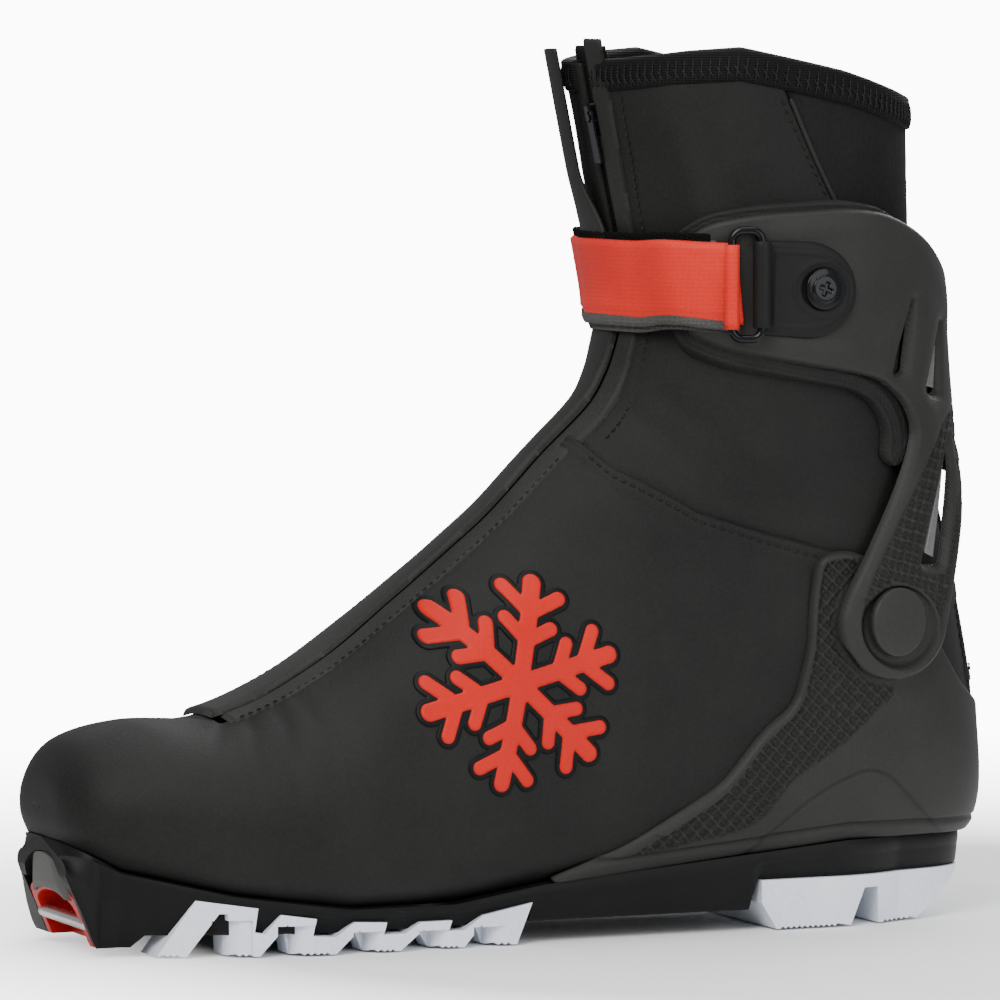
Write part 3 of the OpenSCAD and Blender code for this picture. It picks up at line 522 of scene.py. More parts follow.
def threads(name, routes, mat, radius=0.28, sides=6):
    """Short thread segments, each a tube with closed, tapered ends; routes are (points, normals)."""
    verts, faces = [], []
    for pts, nrm in routes:
        n = len(pts)
        for i in range(n):
            d = pts[min(i + 1, n - 1)] - pts[max(i - 1, 0)]
            d = d / max(np.linalg.norm(d), 1e-9)
            side = np.cross(d, nrm[i])
            side = side / max(np.linalg.norm(side), 1e-9)
            r = radius * (0.45 if i in (0, n - 1) else 1)
            for k in range(sides):
                a = 2 * math.pi * k / sides
                verts.append(pts[i] + r * (math.cos(a) * side + 0.8 * math.sin(a) * nrm[i]))
        base = len(verts) - n * sides
        for i in range(n - 1):
            for k in range(sides):
                m = (k + 1) % sides
                faces.append((base + i * sides + k, base + i * sides + m,
                              base + (i + 1) * sides + m, base + (i + 1) * sides + k))
        faces.append(tuple(base + k for k in reversed(range(sides))))
        faces.append(tuple(base + (n - 1) * sides + k for k in range(sides)))
    return mesh_object(name, verts, faces, mat)


def stitch_routes(tv, off, pitch=3.0, length=2.2, step=0.55):
    """Dashes of thread along a line on the skin, each dipping into the cloth at its ends."""
    pts, nrm = trace(tv, off, 0.1)
    routes = []
    count = int(len(pts) * 0.1 / pitch)
    for k in range(count):
        i0 = int(k * pitch / 0.1)
        idx = np.linspace(i0, i0 + length / 0.1, 5).astype(int)
        if idx[-1] >= len(pts):
            break
        dip = np.array([-0.25, 0.05, 0.12, 0.05, -0.25])[:, None]
        routes.append((pts[idx] + nrm[idx] * dip, nrm[idx]))
    return routes


def side_line(xz, side=1, per=6):
    """(t, v) pairs of a side-view line, on the outer (1) or inner (-1) side."""
    tv = on_side(curve_through(xz, per))
    if side < 0:
        tv[:, 1] = 2 - tv[:, 1]
    return tv


def ripple(p, size, seed=0.0):
    """Gentle, smooth unevenness of cloth between -1 and 1."""
    x, y, z = (p[..., k] / size + seed * (k + 1) for k in range(3))
    return (np.sin(x * 1.7 + np.sin(z * 1.3 + 1) * 1.5) * np.sin(y * 1.1 + x * 0.4 + 2)
            + np.sin(z * 2.1 + y * 0.7 + np.sin(x * 0.9) * 1.2)) / 2


# ---- Foot panel, with the emblem --------------------------------------------------------------------
SLIT_T, SLIT_MID, SLIT_HALF = 4.0, 0.026, 6.4
GIRTH = 131.0


def slit_dist(t, v):
    """Signed distance to the instep slit, in millimetres, below zero inside it."""
    w = np.where(v > 1, v - 2, v)
    across = np.abs(w - SLIT_MID) * GIRTH - SLIT_HALF
    along = (SLIT_T - t) * 28
    return np.where((across < 0) & (along < 0), np.maximum(across, along),
                    np.hypot(np.maximum(across, 0), np.maximum(along, 0)))


def blunt(obj):
    """Rounds off the very front of the toe."""
    for v in obj.data.vertices:
        over = v.co.x - 0.2478
        if over > 0:
            v.co.x = 0.2478 + 0.0007 * (1 - math.exp(-over / 0.0007))
    return obj


def foot_panel():
    patch = grid_patch(-0.4, 12.7, 0, 2, 0.9, t_mid=5, v_mid=0.45)
    xz = patch.xz()
    above = (xz[:, 1] - lookup(xz[:, 0], ANKLE_SEAM)) * 0.94
    below = lookup(xz[:, 0], FEATHER) - 5 - xz[:, 1]
    below = np.where(patch.t < 1.0, -9, below)
    d = np.maximum(np.maximum(above, below), -slit_dist(patch.t, patch.v))
    patch = patch.clip(d)
    p = skin(patch.t, patch.v)
    above = (p[:, 2] - lookup(p[:, 0], ANKLE_SEAM)) * 0.94
    slit = slit_dist(patch.t, patch.v)
    off = 0.22 * ripple(p, 16) + 0.12 * ripple(p, 7, 2.0)
    fold = smooth(-9, -2.5, above)
    off = off + 1.15 * fold * edge_round(above, 1.1) - 1.2 * (1 - edge_round(above, 1.1))
    off = off - 0.32 * bump_line(above + 3.2, 1.1)
    off = off + 0.5 * smooth(9, 3, slit) * smooth(3.9, 4.4, patch.t) - 1.3 * (1 - edge_round(-slit, 1.0))
    # creases that run from the end of the zip across the toe
    for cx, cy, ang, deep, long in ((196, 9, 62, 0.55, 17), (190, 15, 74, 0.5, 22), (183, 22, 84, 0.45, 24),
                                    (200, -2, 110, 0.4, 18), (176, 26, 96, 0.35, 22), (191, -16, 100, 0.35, 20)):
        a = math.radians(ang)
        dx, dy = p[:, 0] - cx, p[:, 1] - cy
        along = dx * math.cos(a) + dy * math.sin(a)
        across = -dx * math.sin(a) + dy * math.cos(a)
        off = off - deep * np.exp(-(across / 2.2) ** 2 - (along / long) ** 2) * (p[:, 2] > 40)
    # the cloth is drawn in where it meets the sole
    off = off - 0.8 * smooth(6, 0, p[:, 2] - lookup(p[:, 0], FEATHER))
    obj = blunt(shell("foot_panel", patch, off, -UPPER_WALL, M["upper"]))
    return finish_piece(obj, "boot", "upper", "vamp")


def toe_tip():
    """Closes the small opening left at the very front of the foot panel."""
    v = np.linspace(0, 2, 25)[:-1]
    ring = skin(-0.4, v, 0.0)
    mid = ring.mean(0) + np.array([0.25, 0, 0])
    verts = np.vstack([ring, [mid]])
    faces = [(i, (i + 1) % 24, 24) for i in range(24)]
    obj = blunt(mesh_object("toe_tip", verts, faces, M["upper"]))
    return finish_piece(obj, "boot", "upper")


EMBLEM_AT, EMBLEM_R = (115.5, 77.0), 29.5


def crystal_dist(p, grow=0.0):
    """Signed distance to a six-armed snow crystal with forked arms, in the side view."""
    q = p - np.array(EMBLEM_AT)
    best = np.full(len(p), 1e9)
    for k in range(6):
        a = math.radians(60 * k + 45)
        tip = np.array([math.cos(a), math.sin(a)]) * EMBLEM_R
        best = np.minimum(best, segment_dist(q, tip * 0.0, tip)[0] - 2.6)
        for along, size in ((0.42, 8.5), (0.7, 10.0)):
            for turn in (-52, 52):
                b = a + math.radians(turn)
                root = tip * along
                best = np.minimum(best, segment_dist(
                    q, root, root + size * np.array([math.cos(b), math.sin(b)]))[0] - 2.1)
    return best - grow


def emblem():
    tv = on_side([[EMBLEM_AT[0] + s * 36, EMBLEM_AT[1] + u * 36] for s in (-1, 0, 1) for u in (-1, 0, 1)])
    patch = grid_patch(tv[:, 0].min() - 0.15, tv[:, 0].max() + 0.15, max(0.1, tv[:, 1].min() - 0.02),
                       min(0.68, tv[:, 1].max() + 0.03), 0.55)
    for name, grow, low, high, mat, slot in (("emblem_outline", 1.3, 0.25, 0.55, "outline", "emblem_red"),
                                             ("emblem", 0.0, 0.5, 0.95, "emblem", "emblem_red")):
        piece = patch.clip(crystal_dist(patch.xz(), grow))
        d = crystal_dist(piece.xz(), grow)
        p = skin(piece.t, piece.v)
        cloth = 0.22 * ripple(p, 16) + 0.12 * ripple(p, 7, 2.0)
        obj = shell(name, piece, cloth + low + (high - low) * edge_round(d, 0.7), cloth, M[mat])
        finish_piece(obj, "boot", slot, *(["emblem"] if name == "emblem" else []))


# ---- Ankle and shaft cloth ------------------------------------------------------------------------------
def rear_v(t):
    return 0.47 + 0.39 * (1 - smooth(12.4, 16.2, t))


def shaft_relief(p):
    """Soft folds of the shaft cloth, in millimetres."""
    fold = np.zeros(len(p))
    for x, z, ang, deep, wide, long in ((56, 222, 72, 1.5, 5.5, 26), (70, 200, 65, -1.0, 5, 22),
                                        (30, 236, 40, -0.8, 8, 20), (66, 160, 48, 1.2, 5, 26),
                                        (50, 148, 40, -1.1, 5, 30), (34, 140, 25, 0.8, 5, 26),
                                        (18, 232, 100, 0.6, 7, 24)):
        a = math.radians(ang)
        dx, dz = p[:, 0] - x, p[:, 2] - z
        along = dx * math.cos(a) + dz * math.sin(a)
        across = -dx * math.sin(a) + dz * math.cos(a)
        fold += deep * np.exp(-(across / wide) ** 2 - (along / long) ** 2)
    return fold + 0.25 * ripple(p, 14, 1.0)


def collar_side(side):
    def warp(a, b):
        t = 7.6 + (16.95 - 7.6) * a
        v = SHAFT_SLIT[0 if side > 0 else 1] + (rear_v(t) - 0.003 - SHAFT_SLIT[0 if side > 0 else 1]) * b
        return t, v if side > 0 else 2 - v
    patch = grid_patch(7.6, 16.95, 0.05, 0.6, 0.95, t_mid=13.5, v_mid=0.2, warp=warp)
    xz = patch.xz()
    d = np.maximum(lookup(xz[:, 0], ANKLE_SEAM) - 3.5 - xz[:, 1], xz[:, 1] - lookup(xz[:, 0], RIM) - 1.5)
    patch = patch.clip(d)
    p = skin(patch.t, patch.v)
    vs = side_v(patch.v)
    seam = (rear_v(patch.t) - vs) * GIRTH
    front = (vs - SHAFT_SLIT[0 if side > 0 else 1]) * GIRTH
    off = shaft_relief(p) * smooth(0, 12, seam) * smooth(-2, 10, front)
    off = off * smooth(0, 16, p[:, 2] - lookup(p[:, 0], ANKLE_SEAM))
    off = off - 0.9 * smooth(3, -2, p[:, 2] - lookup(p[:, 0], ANKLE_SEAM)) - 0.7 * (1 - edge_round(-seam, 1.2))
    off = off - 0.7 * (1 - edge_round(-front, 1.0))
    # dashed seam that runs beside the slit
    off = off - 0.3 * bump_line(front - 10.5, 1.0) - 0.22 * bump_line(front - 4.5, 0.8)
    name = "shaft_panel_lateral" if side > 0 else "shaft_panel_medial"
    obj = shell(name, patch, off, -UPPER_WALL, M["upper"])
    nodes = ["collar_lateral", "ankle_gusset"] if side > 0 else ["collar_medial"]
    return bend_piece(obj, "upper", *nodes)


SHAFT_SLIT = (0.06, -0.012)


def collar_back():
    def warp(a, b):
        t = 9.8 + (17 - 9.8) * a
        s = rear_v(t)
        return t, s + (2 - 2 * s) * b
    patch = grid_patch(9.8, 17, 0.6, 1.4, 0.8, t_mid=14, v_mid=1.0, warp=warp)
    xz = patch.xz()
    d = np.maximum(lookup(xz[:, 0], ANKLE_SEAM) - 3.5 - xz[:, 1], xz[:, 1] - lookup(xz[:, 0], RIM) - 1.5)
    patch = patch.clip(d)
    p = skin(patch.t, patch.v)
    seam = (side_v(patch.v) - rear_v(patch.t)) * GIRTH
    along = np.arctan2(p[:, 1], p[:, 0] - 24) * 42
    off = -0.5 + 0.14 * np.sin(along * 2 * math.pi / 2.2) + 0.3 * ripple(p, 18, 3.0)
    off = off - 0.5 * (1 - edge_round(-seam, 1.6)) - 0.9 * smooth(3, -2, p[:, 2] - lookup(p[:, 0], ANKLE_SEAM))
    obj = shell("shaft_stretch_panel", patch, off, -UPPER_WALL, M["stretch"])
    return bend_piece(obj, "stretch_fabric", "collar_rear")


def seam_cord(name, tv, off, radius, mat, sides=8):
    """Piping: a round cord sewn along a line of the skin."""
    pts, nrm = trace(tv, off, 0.8)
    return threads(name, [(pts, nrm)], mat, radius, sides)


def rear_seams():
    t = np.linspace(10.9, 16.55, 80)
    p = skin(t, rear_v(t))
    t = t[p[:, 2] < lookup(p[:, 0], RIM) + RIM_LOW + 0.5]
    for side, tag in ((1, "lateral"), (-1, "medial")):
        v = rear_v(t)
        tv = np.stack([t, v if side > 0 else 2 - v], -1)
        bend_piece(seam_cord("rear_seam_piping_" + tag, tv, 0.15, 0.75, M["flap"]), "upper")
        tv = np.stack([t, (v - 0.014) if side > 0 else 2 - (v - 0.014)], -1)
        bend_piece(threads("rear_seam_stitches_" + tag, stitch_routes(tv, 0.1), M["stitch"], 0.34), "upper")


def ankle_stitches():
    for side, tag in ((1, "lateral"), (-1, "medial")):
        line = [[x, lookup(x, ANKLE_SEAM) - 3.4] for x in np.linspace(84, -38, 26)]
        tv = side_line(line, side, 2)
        finish_piece(threads("ankle_stitches_" + tag, stitch_routes(tv, 0.85), M["stitch"], 0.36), "boot", "upper")


def shaft_front_stitches():
    t = np.linspace(8.75, 15.55, 60)
    for inset, tag in ((10.5, "outer"), ):
        v = SHAFT_SLIT[0] + inset / GIRTH + 0 * t
        bend_piece(threads("shaft_stitches_" + tag, stitch_routes(np.stack([t, v], -1), -0.05, 2.6, 1.9),
                           M["stitch"], 0.3), "upper")


# ---- Rim binding, with its overlock threads -----------------------------------------------------------------
RIM_LOW, RIM_HIGH = -7.5, 2.6


def rim_tv(v, lift):
    """Section at which girth v reaches the rim, moved up by lift."""
    lo, hi = np.full(len(v), 12.0), np.full(len(v), 17.4)
    for _ in range(22):
        mid = (lo + hi) / 2
        p = skin(mid, v)
        over = p[:, 2] > lookup(p[:, 0], RIM) + lift
        hi, lo = np.where(over, mid, hi), np.where(over, lo, mid)
    return (lo + hi) / 2


def rim_binding():
    v = np.linspace(SHAFT_SLIT[0] - 0.004, 2 + SHAFT_SLIT[1] + 0.006, 300)
    profile = []
    for a in np.linspace(0, 1, 9):
        profile.append((RIM_LOW + (RIM_HIGH - 1.6 - RIM_LOW) * a, 0.85 - 0.5 * (a < 0.05)))
    for a in np.linspace(0, 180, 9)[1:-1]:
        r = (0.85 - LINING_IN + 0.4) / 2
        profile.append((RIM_HIGH - 1.6 + 1.6 * math.sin(math.radians(a)), 0.85 - r + r * math.cos(math.radians(a))))
    for a in np.linspace(1, 0, 8):
        profile.append((RIM_LOW + (RIM_HIGH - 1.6 - RIM_LOW) * a, LINING_IN - 0.4 + 0.3 * (a < 0.05)))
    rows = []
    for lift, off in profile:
        t = rim_tv(v, lift)
        rows.append(skin(t, v, off + 0.12 * ripple(skin(t, v), 5, 4.0)))
    rows = np.array(rows)
    n, m = rows.shape[:2]
    i = np.arange(n * m).reshape(n, m)
    faces = [tuple(f) for f in np.stack([i[:-1, :-1], i[1:, :-1], i[1:, 1:], i[:-1, 1:]], -1).reshape(-1, 4)]
    faces += [tuple(i[:, 0]), tuple(i[::-1, -1])]
    faces += [(i[0, j], i[0, j + 1], i[n - 1, j + 1], i[n - 1, j]) for j in range(m - 1)]
    obj = mesh_object("rim_binding", rows.reshape(-1, 3), faces, M["binding"])
    finish_piece(obj, "cuff", "binding_edge", "collar_binding")
    # slanted overlock threads over both faces of the binding
    for tag, off, turn in (("outer", 1.0, 1), ("inner", LINING_IN - 0.55, -1)):
        routes = []
        per = GIRTH * 2 / 2.3
        for k in range(int(per)):
            v0 = v[0] + (v[-1] - v[0]) * (k + 0.5) / per
            for lean, lo, hi in ((0.004, RIM_LOW + 0.2, RIM_HIGH - 2.2), (-0.006, RIM_LOW + 1.2, RIM_LOW + 5)):
                vv = v0 + np.linspace(-lean, lean, 5)
                t = rim_tv(vv, 0) * 0 + np.array([rim_tv(vv[j:j + 1], lo + (hi - lo) * j / 4)[0] for j in range(5)])
                arc = np.array([-0.3, 0.1, 0.2, 0.1, -0.3]) * turn
                routes.append((skin(t, vv, off + arc), normal(t, vv) * turn))
        finish_piece(threads("overlock_" + tag, routes, M["stitch"], 0.27, 5), "cuff", "binding_edge")


def linings():
    v = (0.0, 2.0)
    patch = grid_patch(10.4, 16.9, v[0], v[1], 1.6, t_mid=14, v_mid=0.4)
    xz = patch.xz()
    d = np.maximum(lookup(xz[:, 0], ANKLE_SEAM) + 16 - xz[:, 1], xz[:, 1] - lookup(xz[:, 0], RIM) + 0.5)
    patch = patch.clip(d)
    p = skin(patch.t, patch.v)
    rib = 0.35 * np.abs(np.sin(np.arctan2(p[:, 1], p[:, 0] - 24) * 9))
    obj = shell("shaft_lining", patch, LINING_OUT, LINING_IN + rib, M["lining"])
    bend_piece(obj, "lining", "collar_lining")
    patch = grid_patch(0.3, 12.0, 0.19, 1.81, 1.9, t_mid=6, v_mid=0.5)
    xz = patch.xz()
    patch = patch.clip(xz[:, 1] - lookup(xz[:, 0], ANKLE_SEAM) - 6)
    obj = shell("foot_lining_padding", patch, LINING_OUT, LINING_IN + 0.1 * ripple(skin(patch.t, patch.v), 6), M["lining"])
    finish_piece(obj, "boot", "lining", "foot_lining")
    patch = grid_patch(1.4, 9.2, 0.87, 1.13, 1.6, t_mid=6, v_mid=1.0)
    p = skin(patch.t, patch.v)
    edge = np.minimum(patch.v - 0.87, 1.13 - patch.v) * 260
    off = LINING_IN - 1.9
    top = LINING_IN - 4.4 + 1.2 * (1 - edge_round(-edge, 4)) + 0.12 * ripple(p, 7)
    obj = shell("footbed_cushion", patch, off, top, M["footbed"])
    finish_piece(obj, "boot", "footbed_fabric", "footbed")
    patch = grid_patch(4.8, 7.95, -0.155, 0.155, 1.4, t_mid=6.4, v_mid=0.0)
    edge = np.minimum(0.155 - np.abs(patch.v), (7.95 - patch.t) * 0.2) * 130
    quilt = 0.5 * np.abs(np.sin(patch.t * 4.2))
    obj = shell("tongue_padding", patch, LINING_OUT - 1.8 - 0.9 * (1 - edge_round(-edge, 3)) - quilt * 0.4,
                LINING_OUT - 4.4 + 0.9 * (1 - edge_round(-edge, 3)), M["lining"])
    finish_piece(obj, "boot", "lining", "tongue")


# ---- Zip and its cover flaps ----------------------------------------------------------------------------------
def strip(name, t0, t1, v0, v1, out, inn, mat, step=0.9, radius=1.0, relief=None):
    """Long narrow piece with rounded edges between two girths."""
    patch = grid_patch(t0, t1, v0, v1, step, v_mid=(v0 + v1) / 2)
    edge = -np.minimum(np.minimum(patch.v - v0, v1 - patch.v) * GIRTH,
                       np.minimum(patch.t - t0, t1 - patch.t) * 25)
    p = skin(patch.t, patch.v)
    off = inn + (out - inn) * edge_round(edge, radius)
    if relief:
        off = off + relief(patch.t, patch.v, p)
    return shell(name, patch, off, inn, mat)


def teeth(name, t0, t1, v_mid, off, mat, pitch=1.7):
    """Interlocked zip coils as short cross threads."""
    t = even(lambda x: skin(x, v_mid), t0, t1, pitch)
    routes = []
    for k, ti in enumerate(t):
        s = 1 if k % 2 else -1
        v = v_mid + s * np.array([-0.003, 0.002, 0.008, 0.013])
        routes.append((skin(ti + 0 * v, v, off + np.array([0.2, 0.45, 0.3, -0.2])), normal(ti + 0 * v, v)))
    return threads(name, routes, mat, 0.5, 6)


def zip_parts():
    wave = lambda t, v, p: 0.18 * ripple(p, 9, 5.0)
    flap = strip("zip_flap_lower", 3.95, 12.6, -0.115, 0.041, 2.3, 0.3, M["flap"], 0.9, 1.6, wave)
    bend_piece(flap, "zip_flap", "zip_flap_foot")
    welt = strip("zip_welt_lower", 4.05, 12.6, 0.049, 0.112, 1.15, 0.0, M["flap"], 0.9, 1.0, wave)
    bend_piece(welt, "zip_flap", "zip_welt_foot")
    tape = strip("zip_tape_lower", 4.4, 12.9, -0.03, 0.1, -1.9, -2.8, M["zip"], 1.6)
    bend_piece(tape, "zip_black", "zip_tape_foot")
    bend_piece(teeth("zip_coil_lower", 4.5, 13.1, 0.042, -1.6, M["metal_dark"]), "zip_black", "zip_coil_foot")
    upper = strip("zip_welt_upper", 13.25, 15.95, 0.052, 0.112, 1.0, 0.0, M["flap"], 0.9, 1.0, wave)
    finish_piece(upper, "cuff", "zip_flap", "zip_welt_shaft")
    tape = strip("zip_tape_upper", 13.1, 15.9, -0.03, 0.1, -1.9, -2.8, M["zip"], 1.4)
    finish_piece(tape, "cuff", "zip_black", "zip_tape_shaft")
    finish_piece(teeth("zip_coil_upper", 13.1, 15.7, 0.042, -1.6, M["metal_dark"]), "cuff", "zip_black", "zip_coil_shaft")
    # topstitching on both sides of the foot zip
    for tag, v in (("welt", 0.104), ("flap", -0.104)):
        t = np.linspace(4.15, 8.1, 60)
        obj = threads("zip_stitches_" + tag, stitch_routes(np.stack([t, v + 0 * t], -1), 1.2 if v > 0 else 2.0, 2.7, 1.9),
                      M["stitch"], 0.28)
        bend_piece(obj, "zip_flap")


def storm_flap():
    """Flap behind the upper zip, folded back at its top and twisted lower down."""
    rows, cols = 90, 14
    t = np.linspace(12.9, 15.86, rows)
    pts = []
    for ti in t:
        back = float(smooth(13.9, 14.9, ti))
        lean = 1.2 * math.sin((ti - 13.2) * 3.2) * (1 - back)
        row = []
        for b in np.linspace(0, 1, cols):
            v = -0.115 + (0.156 - 0.062 * back) * b
            lift = 4.2 + 0.5 * back + lean * b + 0.9 * back * math.sin(math.pi * b)
            row.append(skin(ti, v, lift))
        pts.append(row)
    pts = np.array(pts)
    nrm = np.cross(np.gradient(pts, axis=1), np.gradient(pts, axis=0))
    nrm /= np.linalg.norm(nrm, axis=2, keepdims=True)
    out, inn = pts, pts - 1.1 * nrm * np.sign((nrm[rows // 2, cols // 2] * [1, 0, 0]).sum())
    n = rows * cols
    i = np.arange(n).reshape(rows, cols)
    quads = np.stack([i[:-1, :-1], i[1:, :-1], i[1:, 1:], i[:-1, 1:]], -1).reshape(-1, 4)
    faces = [tuple(f) for f in quads] + [tuple(n + k for k in reversed(f)) for f in quads]
    rim = list(i[0]) + list(i[1:, -1]) + list(i[-1, -2::-1]) + list(i[-2:0:-1, 0])
    faces += [(a, b, n + b, n + a) for a, b in zip(rim, rim[1:] + rim[:1])]
    obj = mesh_object("storm_flap", np.vstack([out.reshape(-1, 3), inn.reshape(-1, 3)]), faces, M["flap"])
    finish_piece(obj, "cuff", "zip_flap", "zip_flap_shaft")


# ---- Moulded grip pattern --------------------------------------------------------------------------------------
def grip(x, z, pitch, turn, squash=1.0):
    """Height between 0 and 1 of raised lines over cells that each hold a small pyramid."""
    a = math.radians(turn)
    u = (x * math.cos(a) + z * math.sin(a)) / pitch
    w = (-x * math.sin(a) + z * math.cos(a)) / (pitch * squash)
    fu, fw = np.abs(u - np.floor(u) - 0.5) * 2, np.abs(w - np.floor(w) - 0.5) * 2
    edge = np.maximum(fu, fw)
    line = smooth(0.72, 0.86, edge)
    lean = (u - np.floor(u)) * 0.35 + (w - np.floor(w)) * 0.2
    pyramid = np.clip(1 - edge / 0.62, 0, 1)
    return np.maximum(line, pyramid * 0.55 + lean * (1 - line) * 0.35)


# ---- Heel shell ----------------------------------------------------------------------------------------------------
SHELL_CREASE = [[42, 24], [22, 40], [6, 47.5], [-2, 47.5], [-8, 44], [-16, 37], [-27, 28]]


def heel_shell():
    patch = grid_patch(6.2, 12.7, 0.28, 1.72, 0.62, t_mid=9.6, v_mid=0.66)
    outline = rounded(HEEL_OUTLINE, 5)
    patch = patch.clip(outline_dist(patch.xz(), outline))
    xz = patch.xz()
    d = outline_dist(xz, outline)
    height = edge_round(d, 1.3)
    off = SHELL_IN + (SHELL_OUT - SHELL_IN) * height
    # textured band between the front edge and the grip line
    grip_line = np.array(curve_through(GRIP_LINE, 6))
    front = np.interp(xz[:, 0], grip_line[::-1, 0], grip_line[::-1, 1])
    inside = smooth(0.2, 0.9, (xz[:, 1] - front) * 0.75) * smooth(-2.0, -3.0, d) * (xz[:, 0] > -6)
    # a smooth ring round the pivot and a rib along the front edge are left plain
    ring = np.hypot(xz[:, 0] - PIVOT[0], xz[:, 1] - PIVOT[1])
    inside = inside * smooth(18.5, 19.5, ring)
    cells = grip(xz[:, 0], xz[:, 1], 3.1, 42)
    off = off + 0.95 * inside * (cells - 0.7)
    shade = 0.75 * inside * (1 - cells)
    rib = bump_line(d + 1.6, 1.5) * (xz[:, 0] > 8) * (xz[:, 1] > 32)
    off = off + 0.7 * rib
    # fold in the moulding low on each side and a soft hollow under it
    crease = line_dist(xz, curve_through(SHELL_CREASE, 8))
    below = outline_dist(xz, np.vstack([curve_through(SHELL_CREASE, 8), [[-27, 10], [42, 10]]]))
    off = off - 0.45 * smooth(0, 2.2, -below) * smooth(26, 30, xz[:, 1]) - 0.25 * bump_line(crease, 0.9)
    # flare along the bottom, where the shell sits on the sole
    off = off + 0.5 * smooth(5.2, 4.0, xz[:, 1] - lookup(xz[:, 0], FEATHER)) * height
    off = off - 0.5 * bump_line(xz[:, 1] - lookup(xz[:, 0], FEATHER) - 5.4, 0.8)
    # recess round the pivot
    off = off + 0.3 * bump_line(ring - 17, 1.2)
    shade = shade + 0.5 * bump_line(crease, 1.0) + 0.6 * bump_line(xz[:, 1] - lookup(xz[:, 0], FEATHER) - 5.4, 0.7)
    obj = shell("heel_shell_moulding", patch, off, SHELL_IN - 0.35, M["shell"], shade)
    finish_piece(obj, "boot", "shell_grey", "heel_shell")


def heel_trim():
    v0, v1 = 0.84, 1.16
    patch = grid_patch(10.2, 11.3, v0, v1, 0.8, v_mid=1.0)
    xz = patch.xz()
    patch = patch.clip(np.maximum(72 - xz[:, 1], xz[:, 1] - 98))
    xz = patch.xz()
    edge = -np.minimum(np.minimum(patch.v - v0, v1 - patch.v) * GIRTH, np.minimum(xz[:, 1] - 71, 98 - xz[:, 1]))
    obj = shell("achilles_panel", patch, 0.2 + 0.9 * edge_round(edge, 1.2), -0.4, M["upper"])
    finish_piece(obj, "boot", "upper", "achilles_tab")
    for k, inset in enumerate((2.4, 4.0)):
        v = np.linspace(v0 + inset / GIRTH, v1 - inset / GIRTH, 30)
        t = np.array([np.interp(73 + inset, *zip(*[(skin(x, vi)[2], x) for x in np.linspace(10, 11.4, 60)]))
                      for vi in v])
        finish_piece(threads("achilles_stitches_%d" % k, stitch_routes(np.stack([t, v], -1), 1.2, 2.6, 1.9),
                             M["stitch"], 0.32), "boot", "upper")
    # webbing pull loop
    rows, cols = 26, 9
    pts = []
    for a in np.linspace(0, 1, rows):
        z = 66 + 18 * a
        row = []
        for b in np.linspace(-1, 1, cols):
            v = 1 + 0.045 * b
            t = np.interp(z, [skin(x, v)[2] for x in np.linspace(9.6, 11.6, 80)], np.linspace(9.6, 11.6, 80))
            row.append(skin(t, v, 1.1 + 0.7 * math.sin(math.pi * a)))
        pts.append(row)
    pts = np.array(pts)
    out = pts
    inn = pts + np.array([0.9, 0, 0])
    n = rows * cols
    i = np.arange(n).reshape(rows, cols)
    quads = np.stack([i[:-1, :-1], i[1:, :-1], i[1:, 1:], i[:-1, 1:]], -1).reshape(-1, 4)
    faces = [tuple(f) for f in quads] + [tuple(n + k for k in reversed(f)) for f in quads]
    rim = list(i[0]) + list(i[1:, -1]) + list(i[-1, -2::-1]) + list(i[-2:0:-1, 0])
    faces += [(a, b, n + b, n + a) for a, b in zip(rim, rim[1:] + rim[:1])]
    obj = mesh_object("heel_pull_webbing", np.vstack([out.reshape(-1, 3), inn.reshape(-1, 3)]), faces, M["dark_web"])
    finish_piece(obj, "boot", "webbing", "heel_pull")


# ---- Cuff ----------------------------------------------------------------------------------------------------------
GRIP_AREA = [[-60, 166], [-36, 165], [-27, 160.5], [-20, 155], [-15, 146], [-9, 133], [-3, 121], [3, 110], [6, 102],
             [7, 92], [4, 84], [-3, 80.5], [-12, 82], [-17, 88], [-21, 102], [-25, 118], [-29, 134], [-34, 143],
             [-38, 148], [-60, 150]]


